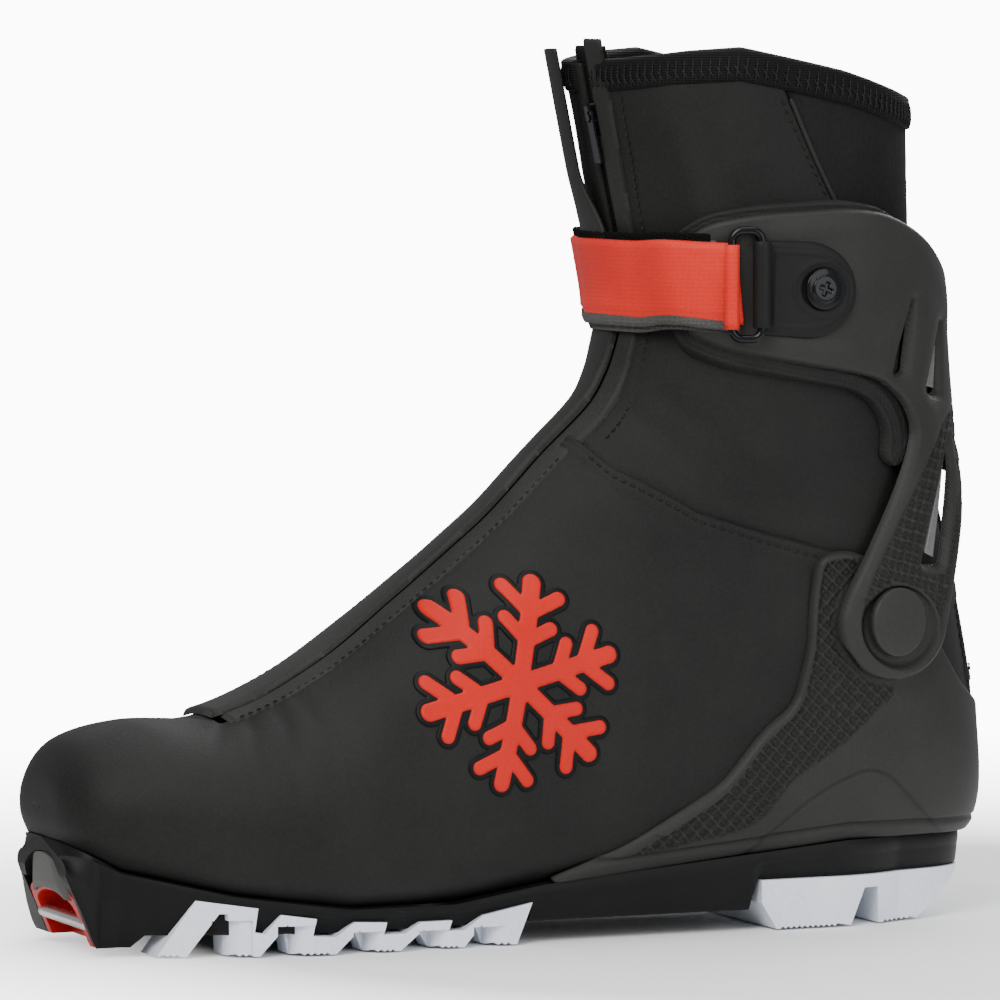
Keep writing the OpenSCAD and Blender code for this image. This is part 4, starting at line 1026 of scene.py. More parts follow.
def cuff_skin():
    patch = grid_patch(9.7, 15.05, 0.24, 1.76, 0.62, t_mid=12.8, v_mid=0.62)
    outline = rounded(CUFF_OUTLINE, 7)
    slots = [rounded(s, 2) for s in (SLOT_FRONT, SLOT_MID, SLOT_LONG)]
    ring_r = 11.9

    def dist(xz):
        d = outline_dist(xz, outline)
        for s in slots:
            d = np.maximum(d, -outline_dist(xz, s))
        return d
    patch = patch.clip(dist(patch.xz()))
    xz = patch.xz()
    d_out = outline_dist(xz, outline)
    d = dist(xz)
    lift = rear_lift(patch.v)
    off = CUFF_IN + (CUFF_OUT - CUFF_IN) * edge_round(d, 1.8)
    # dished flanks of the slots
    for s in slots:
        ds = outline_dist(xz, s)
        off = off - 0.9 * smooth(4.5, 0, ds)
    # soft rib along the front edge of the arms and wings
    off = off + 0.45 * bump_line(d_out + 5.5, 4.5) * (xz[:, 1] > 100)
    # grip pattern, sunk a little below the plain surface
    area = outline_dist(xz, rounded(GRIP_AREA, 6))
    hole = np.hypot((xz[:, 0] - PIVOT[0]), (xz[:, 1] - PIVOT[1]))
    inside = smooth(0.0, -0.6, area) * smooth(ring_r + 1.2, ring_r + 1.8, hole)
    slot_near = np.minimum.reduce([outline_dist(xz, s) for s in slots])
    inside = inside * smooth(1.2, 2.2, slot_near)
    cells = grip(xz[:, 0], xz[:, 1], 2.5, 12, 1.3)
    off = off - inside * 0.8 * (1 - cells)
    off = off - 0.35 * bump_line(area, 0.7)
    shade = 0.75 * inside * (1 - cells) + 0.3 * bump_line(area, 0.7) + 0.5 * bump_line(hole - ring_r, 0.8)
    # seat of the round cap
    off = off - 1.3 * smooth(ring_r + 0.9, ring_r - 0.2, hole)
    off = off + 0.35 * bump_line(hole - ring_r - 1.0, 0.9)
    # shallow hollow above the lower edge at the back
    off = off - 0.8 * smooth(8, 0, np.abs(xz[:, 1] - 157)) * smooth(-28, -36, xz[:, 0])
    obj = shell("cuff_moulding", patch, off + lift, CUFF_IN + lift, M["cuff"], shade)
    finish_piece(obj, "cuff", "cuff_grey", "cuff_shell")


def cuff_inlays():
    for k, (points, high) in enumerate((([[-19.2, 178], [-15.2, 163.6], [-18.0, 163.2]], 0.9),
                                        ([[-22.4, 145], [-14.6, 113.9], [-18.0, 112.6], [-19.6, 124]], 0.9))):
        patch = grid_patch(10.4, 14.4, 0.5, 0.82, 0.5)
        piece = patch.clip(outline_dist(patch.xz(), points))
        d = outline_dist(piece.xz(), points)
        for side, tag in ((1, "lateral"), (-1, "medial")):
            one = Patch(piece.t, piece.v if side > 0 else 2 - piece.v, piece.faces)
            lift = rear_lift(one.v)
            obj = shell("reflector_%s_%d" % (tag, k), one, CUFF_IN + 0.4 + (high - 0.4) * edge_round(d, 0.5) + lift,
                        CUFF_IN - 0.1 + lift, M["silver"])
            finish_piece(obj, "cuff", "reflector", "reflective_inlays")


def cuff_padding():
    patch = grid_patch(11.0, 15.3, 0.2, 1.8, 0.7, t_mid=13.4, v_mid=0.5)
    outline = rounded(PAD_OUTLINE, 6)
    patch = patch.clip(outline_dist(patch.xz(), outline))
    d = outline_dist(patch.xz(), outline)
    lift = rear_lift(patch.v) * 0.3
    off = 0.6 + 3.6 * edge_round(d, 1.5) - 0.7 * bump_line(d + 2.1, 0.55) - 0.35 * bump_line(d + 3.4, 0.5)
    off = off - 0.8 * smooth(-4.5, -6, d)
    obj = shell("cuff_padding", patch, off + lift, 0.2, M["pad"])
    finish_piece(obj, "cuff", "pad_fabric", "cuff_pad")


# ---- Power strap --------------------------------------------------------------------------------------------------
RING_V = 0.385


def strap_lift(v):
    return 4.3 * smooth(0.13, 0.25, np.abs(v))


def level_t(v, z):
    """Section at which girth v reaches height z."""
    v, z = np.broadcast_arrays(np.asarray(v, float), np.asarray(z, float))
    lo, hi = np.full(v.shape, 11.0), np.full(v.shape, 16.5)
    for _ in range(22):
        mid = (lo + hi) / 2
        over = skin(mid, v)[..., 2] > z
        hi, lo = np.where(over, mid, hi), np.where(over, lo, mid)
    return (lo + hi) / 2


def band(name, v0, v1, z0, z1, out, inn, mat, cols=150, rows=16, radius=0.6, relief=None, warp=None):
    """Strap layer between two heights, with rounded edges."""
    v = np.linspace(v0, v1, cols)
    b = np.linspace(0, 1, rows)
    vv, bb = np.meshgrid(v, b)
    zz = z0 + (z1 - z0) * bb
    if warp is not None:
        zz = zz + warp(vv)
    tt = level_t(vv, zz)
    n, m = tt.shape
    i = np.arange(n * m).reshape(n, m)
    faces = np.stack([i[:-1, :-1], i[:-1, 1:], i[1:, 1:], i[1:, :-1]], -1).reshape(-1, 4)
    patch = Patch(tt.ravel(), vv.ravel(), faces)
    edge = -np.minimum(np.minimum(bb, 1 - bb) * (z1 - z0), np.minimum(vv - v0, v1 - vv) * GIRTH).ravel()
    lift = strap_lift(patch.v)
    off = inn + (out - inn) * edge_round(edge, radius)
    if relief is not None:
        off = off + relief(vv.ravel(), bb.ravel())
    return shell(name, patch, off + lift, inn + lift, mat)


RING_AT = skin(level_t(RING_V, RING_Z), np.array(RING_V), CUFF_OUT + 3.4)
RING_TURN = math.radians(-16)
WIRE_R, RING_W, RING_H = 1.25, 9.0, 32.0


def ring_point(x, y, z):
    """Point of the ring frame: x across the ring towards the front, y out, z up."""
    c, s = math.cos(RING_TURN), math.sin(RING_TURN)
    return RING_AT + np.array([c * x - s * y, s * x + c * y, z])


def tube(name, path, radius, mat, sides=20, closed=False):
    """Round bar along a path of millimetre points."""
    path = np.asarray(path, float)
    n = len(path)
    verts, faces = [], []
    up = np.array([0.0, 0.0, 1.0])
    ref = None
    for i in range(n):
        nxt = path[(i + 1) % n] if closed else path[min(i + 1, n - 1)]
        prv = path[i - 1] if closed else path[max(i - 1, 0)]
        d = (nxt - prv) / np.linalg.norm(nxt - prv)
        if ref is None:
            ref = np.cross(d, up if abs(d @ up) < 0.9 else np.array([1.0, 0, 0]))
        ref = ref - (ref @ d) * d
        ref = ref / np.linalg.norm(ref)
        other = np.cross(d, ref)
        for k in range(sides):
            a = 2 * math.pi * k / sides
            verts.append(path[i] + radius * (math.cos(a) * ref + math.sin(a) * other))
    for i in range(n if closed else n - 1):
        j = (i + 1) % n
        shift = 0
        for k in range(sides):
            m = (k + 1) % sides
            faces.append((i * sides + k, i * sides + m, j * sides + (m + shift) % sides, j * sides + (k + shift) % sides))
    if not closed:
        faces.append(tuple(range(sides - 1, -1, -1)))
        faces.append(tuple((n - 1) * sides + k for k in range(sides)))
    return mesh_object(name, verts, faces, mat)


def strap_parts():
    low, high = STRAP_Z
    base = band("strap_backing", -0.47, 0.335, low - 2.2, high + 0.6, 4.7, 3.1, M["webbing"], radius=0.7)
    finish_piece(base, "cuff", "strap_black", "strap_base")
    # fleece of the hook-and-loop face shows above the red layer
    fleece = band("strap_fleece", -0.45, 0.325, high - 1.2, high + 2.4, 4.9, 3.0, M["strap_black"], cols=420, rows=14,
                  radius=1.4, relief=lambda v, b: 0.55 * np.sin(v * 1900 + b * 31) * np.sin(v * 1270 - b * 53 + 1.3))
    finish_piece(fleece, "cuff", "strap_black")
    red = band("strap_red_band", -0.3, RING_V - 0.012, low + 0.6, high - 0.4, 6.6, 5.0, M["strap_red"], radius=0.5)
    finish_piece(red, "strap", "strap_red", "strap_tail")
    edge = band("strap_edge_webbing", -0.3, RING_V - 0.02, low - 1.6, low + 1.4, 6.1, 5.0, M["webbing"], radius=0.4,
                rows=8, relief=lambda v, b: 0.12 * np.sin(v * 900))
    finish_piece(edge, "strap", "strap_black")
    wrap = []
    for a in np.linspace(-100, 110, 26):
        r = WIRE_R + 1.0
        wrap.append((r * math.sin(math.radians(a)), r * math.cos(math.radians(a))))
    rows = []
    for z in np.linspace(-12.6, 12.4, 12):
        rows.append([ring_point(RING_W / 2 - x, y, z - 0.6) for x, y in wrap])
    rows = np.array(rows)
    out = rows
    mid = np.array([ring_point(RING_W / 2, 0, z - 0.6) for z in np.linspace(-12.6, 12.4, 12)])[:, None]
    inn = mid + (rows - mid) * (WIRE_R + 0.12) / (WIRE_R + 1.0)
    n, m = rows.shape[:2]
    i = np.arange(n * m).reshape(n, m)
    quads = np.stack([i[:-1, :-1], i[1:, :-1], i[1:, 1:], i[:-1, 1:]], -1).reshape(-1, 4)
    faces = [tuple(f) for f in quads] + [tuple(n * m + k for k in reversed(f)) for f in quads]
    rim = list(i[0]) + list(i[1:, -1]) + list(i[-1, -2::-1]) + list(i[-2:0:-1, 0])
    faces += [(a, b, n * m + b, n * m + a) for a, b in zip(rim, rim[1:] + rim[:1])]
    obj = mesh_object("strap_fold", np.vstack([out.reshape(-1, 3), inn.reshape(-1, 3)]), faces, M["strap_red"])
    finish_piece(obj, "strap", "strap_red")
    # wire ring
    bend, path = 3.2, []
    hw, hh = RING_W / 2, RING_H / 2
    for cx, cz, a0 in ((hw - bend, hh - bend, 90), (-hw + bend, hh - bend, 180),
                       (-hw + bend, -hh + bend, 270), (hw - bend, -hh + bend, 360)):
        for a in np.linspace(a0 - 90, a0, 9):
            path.append(ring_point(cx + bend * math.cos(math.radians(a)), 0, cz + bend * math.sin(math.radians(a))))
    dense = []
    for p, q in zip(path, path[1:] + path[:1]):
        count = max(1, int(np.linalg.norm(q - p) / 1.2))
        dense += [p + (q - p) * u / count for u in range(count)]
    obj = tube("strap_ring_wire", dense, WIRE_R, M["metal_dark"], 16, closed=True)
    finish_piece(obj, "ring", "dark_metal", "strap_ring")


TAB_X0, TAB_X1, TAB_H = 12.0, 38.5, 29.0


def ring_tab():
    patch = grid_patch(12.4, 15.4, 0.3, 0.6, 0.45, v_mid=0.45)
    arc = [[TAB_X0 + TAB_H / 2 - TAB_H / 2 * math.sin(a), RING_Z - 0.5 + TAB_H / 2 * math.cos(a)]
           for a in np.linspace(0, math.pi, 25)]
    arc = [[max(x, TAB_X0), z] for x, z in arc]
    outline = [[TAB_X1, RING_Z - 0.5 + TAB_H / 2]] + arc + [[TAB_X1, RING_Z - 0.5 - TAB_H / 2]]
    piece = patch.clip(outline_dist(patch.xz(), outline))
    d = outline_dist(piece.xz(), outline)
    raised = 0.35 * bump_line(d + 3.4, 0.7)
    hole = np.hypot(piece.xz()[:, 0] - 22, piece.xz()[:, 1] - RING_Z)
    ridge = 0.3 * bump_line(hole - 8.2, 0.8) - 0.5 * smooth(6.6, 5.8, hole)
    off = CUFF_OUT - 0.3 + 1.9 * edge_round(d, 1.4) + raised + ridge
    obj = shell("ring_tab_plate", piece, off, CUFF_OUT - 0.3, M["tab"])
    finish_piece(obj, "cuff", "tab_rubber", "ring_tab")
    # sleeve of the tab round the rear bar
    rows = []
    for z in np.linspace(-12.8, 12.8, 14):
        rows.append([ring_point(-RING_W / 2 + (WIRE_R + 1.5) * math.sin(math.radians(a)),
                                (WIRE_R + 1.5) * math.cos(math.radians(a)), z) for a in np.linspace(-180, 180, 33)[:-1]])
    rows = np.array(rows)
    n, m = rows.shape[:2]
    mid = rows.mean(1, keepdims=True)
    inn = mid + (rows - mid) * (WIRE_R + 0.1) / (WIRE_R + 1.5)
    i = np.arange(n * m).reshape(n, m)
    j = np.roll(i, -1, 1)
    quads = [tuple(q) for q in np.stack([i[:-1], i[1:], j[1:], j[:-1]], -1).reshape(-1, 4)]
    faces = quads + [tuple(n * m + k for k in reversed(f)) for f in quads]
    for r in (0, n - 1):
        faces += [(i[r, k], i[r, (k + 1) % m], n * m + i[r, (k + 1) % m], n * m + i[r, k]) for k in range(m)]
    obj = mesh_object("ring_tab_sleeve", np.vstack([rows.reshape(-1, 3), inn.reshape(-1, 3)]), faces, M["tab"])
    bevel(obj, 0.35)
    finish_piece(obj, "cuff", "tab_rubber")


def bevel(obj, width, segments=2, angle=32):
    mod = obj.modifiers.new("edge", "BEVEL")
    mod.width = width * MM
    mod.segments = segments
    mod.limit_method = "ANGLE"
    mod.angle_limit = math.radians(angle)
    mod.harden_normals = False
    return obj


def dress(node, mat, width=0.0):
    """A CAD node that shows as it is, with rounded edges and its own material."""
    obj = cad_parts[node]
    obj.data.materials.clear()
    obj.data.materials.append(mat)
    if width:
        bevel(obj, width)
    for poly in obj.data.polygons:
        poly.use_smooth = True
    mod = obj.modifiers.new("normals", "WEIGHTED_NORMAL")
    mod.keep_sharp = True
    return obj


# ---- Turned parts: rivet caps and screws --------------------------------------------------------------------------
def turned(name, profile, at, axis, mat, sides=64, cut=None):
    """Solid of revolution from (radius, height) pairs, its axis along the given direction."""
    verts, faces = [], []
    for r, h in profile:
        for k in range(sides):
            a = 2 * math.pi * k / sides
            z = h + (cut(r, a) if cut else 0.0)
            verts.append((r * math.cos(a), r * math.sin(a), z))
    n = len(profile)
    for i in range(n - 1):
        for k in range(sides):
            m = (k + 1) % sides
            faces.append((i * sides + k, i * sides + m, (i + 1) * sides + m, (i + 1) * sides + k))
    verts += [(0, 0, profile[0][1]), (0, 0, profile[-1][1] + (cut(0, 0) if cut else 0))]
    c0, c1 = n * sides, n * sides + 1
    for k in range(sides):
        m = (k + 1) % sides
        faces.append((c0, m, k))
        faces.append((c1, (n - 1) * sides + k, (n - 1) * sides + m))
    turn = Vector(axis).to_track_quat("Z", "Y").to_matrix()
    turn = np.array(turn)
    verts = np.array(verts) @ turn.T + np.asarray(at, float)
    return mesh_object(name, verts, faces, mat)


def dome(r, h, edge, top, start=0.0):
    """Profile of a low domed disc with a rounded rim."""
    out = [(r, start)]
    out += [(r - edge + edge * math.cos(a), h - edge + edge * math.sin(a)) for a in np.linspace(0, math.pi / 2, 6)]
    out += [(u * (r - edge), h + top * (1 - u * u)) for u in (0.8, 0.6, 0.4, 0.2, 0.06)]
    return out


def caps_and_screws():
    tilt = math.radians(16)
    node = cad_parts["pivot_caps"]
    for side, tag in ((1, "lateral"), (-1, "medial")):
        axis = (-math.sin(tilt), side * math.cos(tilt), 0)
        at = np.array([PIVOT[0], 0, PIVOT[1]], float)
        co = np.array([v.co for v in node.data.vertices]) / MM
        pick = co[np.sign(co[:, 1]) == side]
        at[:] = (pick.min(0) + pick.max(0)) / 2
        at = at - np.array(axis) * 1.5
        obj = turned("pivot_cap_" + tag, dome(10.3, 2.3, 0.8, 0.55), at, axis, M["cap"])
        finish_piece(obj, "cuff", "cap_grey", "pivot_caps")
    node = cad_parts["cuff_screws"]
    for side, tag in ((1, "lateral"), (-1, "medial")):
        co = np.array([v.co for v in node.data.vertices]) / MM
        pick = co[np.sign(co[:, 1]) == side]
        at = (pick.min(0) + pick.max(0)) / 2
        axis = (-0.07, side, 0)
        at = at - np.array(axis) * 0.8

        def cross_cut(r, a):
            if r > 2.3:
                return 0.0
            arm = min(abs(math.sin(a + 0.35)), abs(math.cos(a + 0.35))) * r
            return -0.9 * float(smooth(0.75, 0.45, arm)) * float(smooth(2.3, 1.9, r))
        profile = [(6.1, 0)] + [(6.1 - 0.4 * (1 - math.cos(a)), 0.5 + 0.35 * math.sin(a)) for a in (0, 0.6, 1.2)]
        profile += [(4.5, 0.85), (4.3, 0.95), (4.2, 1.5), (3.9, 1.75)]
        profile += [(r, 1.8 + 0.12 * (1 - r / 4)) for r in np.linspace(3.4, 0.1, 16)]
        obj = turned("strap_screw_" + tag, profile, at, axis, M["metal_dark"], 72, cross_cut)
        finish_piece(obj, "cuff", "dark_metal", "cuff_screws")


# ---- Sole --------------------------------------------------------------------------------------------------------------
SOLE_T = (0.55, 9.92)
SOLE_BOTTOM = [[-60, 15], [35, 15], [37, 6], [226, 6], [230, 2.5], [240.5, 2.5], [245, 13], [248, 20], [251, 28]]
LUG_TOP = [[213.5, 16.5], [196, 14], [197, 7], [194, 6.5], [189.5, 12], [179, 10.5], [180, 5.5],
           [173, 5], [167, 9], [157, 8.5], [158, 5], [151, 5], [146, 8], [136, 8], [137, 5],
           [132, 5], [126, 9], [110, 12]]
LUG_FOOT = [[115, 0], [124, 0], [126.5, 6.3], [132, 0], [141.5, 0], [145, 5.8], [152.5, 0],
            [162.5, 0], [165.5, 6.6], [173, 0], [185.5, 0], [187.5, 9.3], [195.5, 0], [204, 0],
            [204.5, 12.5], [207, 12.5], [216, 0], [224, 0]]
HEEL_SIDE = [[34, 14.8], [34, 8], [29, 0], [4, 0], [-1, 11], [-6, 11], [-6.5, 0], [-22, 0], [-42, 14.8]]
NOSE_SIDE = [[200, 40], [249, 36], [249, 28], [248, 20], [245.5, 13], [241, 2.6], [200, 2.6]]
LUG_DEPTH, BAND_DEEP, TREAD_TOP, LUG_TURN = 14.0, 3.0, 5.9, 6.5
BAR_X, BAR_Z, BAR_GAP = 242.0, 9.5, 30.0


def feather_v(t):
    t = np.asarray(t, float)
    lo, hi = np.full(t.shape, 0.5), np.full(t.shape, 1.0)
    for _ in range(20):
        mid = (lo + hi) / 2
        p = skin(t, mid)
        under = p[..., 2] < lookup(p[..., 0], FEATHER)
        hi, lo = np.where(under, mid, hi), np.where(under, lo, mid)
    return np.minimum((lo + hi) / 2, 0.985)


def rim_point(t, side):
    t = np.asarray(t, float)
    f = feather_v(t)
    s = section(t)
    p = skin(t, f if side > 0 else 2 - f, 1.8)
    reach = np.maximum(np.abs(p[..., 1] - s[..., 5]), 0.84 * s[..., 4] * (1 - smooth(8.6, 10.2, t)))
    wide = 24.5 * (1 - smooth(1.8, 3.4, t)) * (0.94 + 0.06 * smooth(0.5, 1.4, t))
    x = p[..., 0] + 1.5 * np.maximum(0, 1 - t / 2) ** 2
    return np.stack([x, side * np.maximum(side * s[..., 5] + reach, wide), p[..., 2]], -1)


def plan_edge(inset, t0, t1, step=1.2):
    """Plan outline of the sole between two sections, drawn in by inset."""
    t = even(lambda x: rim_point(x, 1), t0, t1, step)
    a, b = rim_point(t, 1)[:, :2], rim_point(t, -1)[::-1, :2]
    return np.vstack([a - [0, inset], b + [0, inset]])


def prism(name, outline, z0, z1, mat, plane="xy"):
    """Upright prism over a plan outline, or a side-view outline pushed through in y."""
    outline = np.asarray(outline, float)
    n = len(outline)
    if plane == "xy":
        low = np.column_stack([outline, np.full(n, z0)])
        high = np.column_stack([outline, np.full(n, z1)])
    else:
        low = np.column_stack([outline[:, 0], np.full(n, z0), outline[:, 1]])
        high = np.column_stack([outline[:, 0], np.full(n, z1), outline[:, 1]])
    faces = [tuple(range(n)), tuple(range(2 * n - 1, n - 1, -1))]
    faces += [(i, (i + 1) % n, n + (i + 1) % n, n + i) for i in range(n)]
    return mesh_object(name, np.vstack([low, high]), faces, mat, smooth_shade=False)


def combine(obj, other, how):
    """Boolean of two solids; the second one is used up."""
    mod = obj.modifiers.new("cut", "BOOLEAN")
    mod.operation = how
    mod.object = other
    mod.solver = "EXACT"
    bpy.context.view_layer.update()
    mesh = bpy.data.meshes.new_from_object(obj.evaluated_get(bpy.context.evaluated_depsgraph_get()))
    obj.modifiers.clear()
    obj.data = mesh
    bpy.data.objects.remove(other)
    return obj


def soften(obj, width, segments=2, angle=30):
    """Rounded edges made final in the mesh, with smooth shading."""
    bevel(obj, width, segments, angle)
    bpy.context.view_layer.update()
    mesh = bpy.data.meshes.new_from_object(obj.evaluated_get(bpy.context.evaluated_depsgraph_get()))
    obj.modifiers.clear()
    obj.data = mesh
    mesh.shade_smooth()
    mod = obj.modifiers.new("normals", "WEIGHTED_NORMAL")
    mod.keep_sharp = True
    return obj


def sole_carrier():
    t = even(lambda x: rim_point(x, 1), SOLE_T[0], SOLE_T[1], 1.5)
    f = feather_v(t)
    rows = []
    rim = {s: rim_point(t, s) for s in (1, -1)}
    base = np.minimum(lookup(rim[1][:, 0], SOLE_BOTTOM), rim[1][:, 2] - 1)
    for s in (1, -1):
        part = []
        top = rim[s]
        mid_y = section(t)[:, 5]
        for share, out in ((0.0, -1.4), (0.0, -0.3), (0.06, 0.25), (0.2, 0.3), (0.32, 0.0), (0.38, -0.35), (0.46, -0.35),
                           (0.6, -0.5), (0.8, -0.9), (0.95, -1.3), (1.0, -2.0)):
            z = top[:, 2] + (base - top[:, 2]) * share + (0.7 if share == 0 and out > -1 else 0)
            keep = 0.25 + 0.75 * smooth(1.2, 3.0, t)
            nose = (1 - share) ** 2 * (1 - smooth(0.5, 2.6, t))
            y = mid_y + (top[:, 1] - mid_y) * (1 - 0.05 * share * keep) + s * out * keep - s * 6.5 * nose
            z = z - 3.0 * nose
            part.append(np.stack([top[:, 0], y, z], -1))
        rows.append(part)
    under = [skin(t, f + (2 - 2 * f) * b, 0.4) for b in np.linspace(0, 1, 13)]
    loop = rows[0] + rows[1][::-1] + under[::-1]
    loop = np.array(loop)
    m, n = loop.shape[:2]
    i = np.arange(m * n).reshape(m, n)
    j = np.roll(i, -1, 0)
    faces = [tuple(q) for q in np.stack([i[:, :-1], i[:, 1:], j[:, 1:], j[:, :-1]], -1).reshape(-1, 4)]
    faces += [tuple(i[:, 0]), tuple(i[::-1, -1])]
    obj = mesh_object("sole_carrier", loop.reshape(-1, 3), faces, M["black_sole"], smooth_shade=False)
    obj = combine(obj, prism("cut_a", [[231.9, -21.1], [231.9, 21.1], [270, 21.1], [270, -21.1]], -1, 20.2, M["black_sole"]),
                  "DIFFERENCE")
    obj = combine(obj, yz_prism("cut_b", half_round(18.0, 16.0, 18.5, 10.8, 40), 245.8, 270, M["black_sole"]), "DIFFERENCE")
    groove = prism("cut_c", [[x, z + 0.2] for x, z in LUG_TOP] + [[110, -2], [224, -2]], -80, 80, M["black_sole"], "xz")
    core = prism("core", plan_edge(BAND_DEEP + 0.1, 1.85, 7.25), -4, 40, M["black_sole"])
    groove = combine(groove, core, "DIFFERENCE")
    obj = combine(obj, groove, "DIFFERENCE")
    flat = prism("cut_d", [[109.8, -60], [109.8, 60], [224.2, 60], [224.2, -60]], -4, 6, M["black_sole"])
    obj = combine(obj, flat, "DIFFERENCE")
    soften(obj, 0.45, 2, 34)
    return finish_piece(obj, "boot", "sole_black", "outsole_carrier")


def toothed(a, b, pitch, deep):
    """Points of a finely notched edge from a to b."""
    a, b = np.asarray(a, float), np.asarray(b, float)
    d = b - a
    length = np.linalg.norm(d)
    nrm = np.array([-d[1], d[0]]) / length
    if nrm[1] < 0:
        nrm = -nrm
    count = max(2, int(length / pitch))
    out = []
    for k in range(count):
        out.append(a + d * (k + 0.15) / count)
        out.append(a + d * (k + 0.6) / count + nrm * deep)
    return out


def forefoot_tread():
    foot = []
    for p, q in zip(LUG_FOOT, LUG_FOOT[1:]):
        foot.append(p)
        if p[1] == 0 and q[1] == 0:
            foot += [list(x) for x in toothed([p[0] + 1.5, 0], [q[0] - 1.5, 0], 1.6, 0.7)]
    foot.append(LUG_FOOT[-1])
    side = prism("tread_side", LUG_TOP + foot, -80, 80, M["white"], "xz")
    plan = prism("tread_plan", plan_edge(0.1, 1.9, 7.2), -1, 30, M["white"])
    obj = combine(side, plan, "INTERSECT")
    obj.name = "forefoot_tread"
    obj = combine(obj, prism("core_low", plan_edge(LUG_DEPTH, 1.7, 7.4), -2, TREAD_TOP, M["white"]), "DIFFERENCE")
    obj = combine(obj, prism("core_high", plan_edge(BAND_DEEP, 1.7, 7.4), TREAD_TOP - 0.01, 40, M["white"]), "DIFFERENCE")
    # the front corner of each lug is turned in under the band
    t = np.linspace(7.2, 1.9, 120)
    for x1, top in ((124, 5.6), (141.5, 5.4), (162.5, 6.0), (185.5, 8.6), (204, 10.5)):
        for s in (1, -1):
            rim = rim_point(t, s)
            edge = float(np.interp(x1 - 3, rim[:, 0], rim[:, 1])) - s * 0.1
            arc = [[x1 - LUG_TURN + LUG_TURN * math.sin(a), edge - s * LUG_TURN * (1 - math.cos(a))]
                   for a in np.linspace(0, math.pi / 2, 12)]
            corner = arc + [[x1 + 5, edge - s * LUG_TURN], [x1 + 5, edge + s * 4], [x1 - LUG_TURN, edge + s * 4]]
            obj = combine(obj, prism("corner", corner, -2, top, M["white"]), "DIFFERENCE")
    soften(obj, 0.35, 2, 30)
    return finish_piece(obj, "boot", "tread_white", "forefoot_lugs")


def heel_tread():
    low = [p for p in HEEL_SIDE]
    outline = [low[0], low[1], low[2]]
    outline += [list(x) for x in toothed([28, 0], [8, 0], 1.8, 0.8)]
    outline += low[3:7] + [list(x) for x in toothed([-8, 0], [-20, 0], 1.8, 0.8)] + low[7:]
    side = prism("heel_tread", outline, -80, 80, M["white"], "xz")
    bridge = prism("bridge", [[-10, -9], [10, -9], [10, 9], [-10, 9]], 0.02, 11.5, M["white"])
    side = combine(side, bridge, "UNION")
    t = even(lambda x: rim_point(x, 1), 7.2, 9.9, 1.2)
    a, b = rim_point(t, 1)[:, :2], rim_point(t, -1)[::-1, :2]
    plan = prism("heel_plan", np.vstack([a - [0, 1.2], b + [0, 1.2]]), -1, 30, M["white"])
    obj = combine(side, plan, "INTERSECT")
    soften(obj, 0.6, 3, 30)
    return finish_piece(obj, "boot", "tread_white", "heel_lug")


def yz_prism(name, outline, x0, x1, mat):
    """Prism over an outline seen from the front, from x0 to x1."""
    pts = np.asarray(outline, float)
    n = len(pts)
    verts = np.vstack([np.column_stack([np.full(n, x0), pts]), np.column_stack([np.full(n, x1), pts])])
    faces = [tuple(range(n)), tuple(range(2 * n - 1, n - 1, -1))]
    faces += [(i, (i + 1) % n, n + (i + 1) % n, n + i) for i in range(n)]
    return mesh_object(name, verts, faces, mat, smooth_shade=False)


def half_round(half, low, base, rise, count=28):
    """Front outline of an arch: straight legs from low to base under a half ellipse."""
    arc = [[-half * math.cos(a), base + rise * math.sin(a)] for a in np.linspace(0, math.pi, count)]
    return [[-half, low]] + arc + [[half, low]]


def toe_parts():
    # red liner of the binding slot: a box with an arched mouth and thin cheeks
    insert = yz_prism("toe_insert_red", half_round(20.8, 2.7, 15.5, 4.5), 232.2, 247.4, M["red"])
    nose = [[x - 0.6, z] for x, z in NOSE_SIDE]
    insert = combine(insert, prism("nose", nose, -60, 60, M["red"], "xz"), "INTERSECT")
    insert = combine(insert, yz_prism("mouth", half_round(BAR_GAP / 2 + 2, -1, 12.5, 5.0), 234.2, 270, M["red"]),
                     "DIFFERENCE")
    insert.name = "toe_insert_red"
    soften(insert, 0.7, 3, 30)
    finish_piece(insert, "boot", "red_plastic", "toe_insert")
    bar = turned("toe_bar_steel", [(1.4, 0), (2.0, 0.6), (2.0, 4.2), (2.0, 4.8), (2.0, 20), (2.0, 35.2), (2.0, 35.8),
                                   (2.0, 39.4), (1.4, 40)], (BAR_X, -20, BAR_Z), (0, 1, 0), M["steel"], 48)
    finish_piece(bar, "boot", "steel", "toe_bar")
    # grey bumper over the mouth
    bumper = yz_prism("toe_bumper_arch", half_round(17.7, 16.2, 18.5, 10.5, 40), 246.0, 252, M["grey"])
    bumper = combine(bumper, yz_prism("mouth", half_round(15.6, -1, 14.2, 4.2), 240, 270, M["grey"]), "DIFFERENCE")
    round_nose = [[206 + 43.8 * math.cos(a), 43.8 * math.sin(a)] for a in np.linspace(-1.2, 1.2, 60)]
    bumper = combine(bumper, prism("plan", round_nose + [[200, 41], [200, -41]], 0, 40, M["grey"]), "INTERSECT")
    bumper = combine(bumper, prism("lean", [[x + 0.5, z] for x, z in NOSE_SIDE], -60, 60, M["grey"], "xz"), "INTERSECT")
    bumper.name = "toe_bumper_arch"
    soften(bumper, 0.8, 3, 30)
    finish_piece(bumper, "boot", "bumper_grey", "toe_bumper")


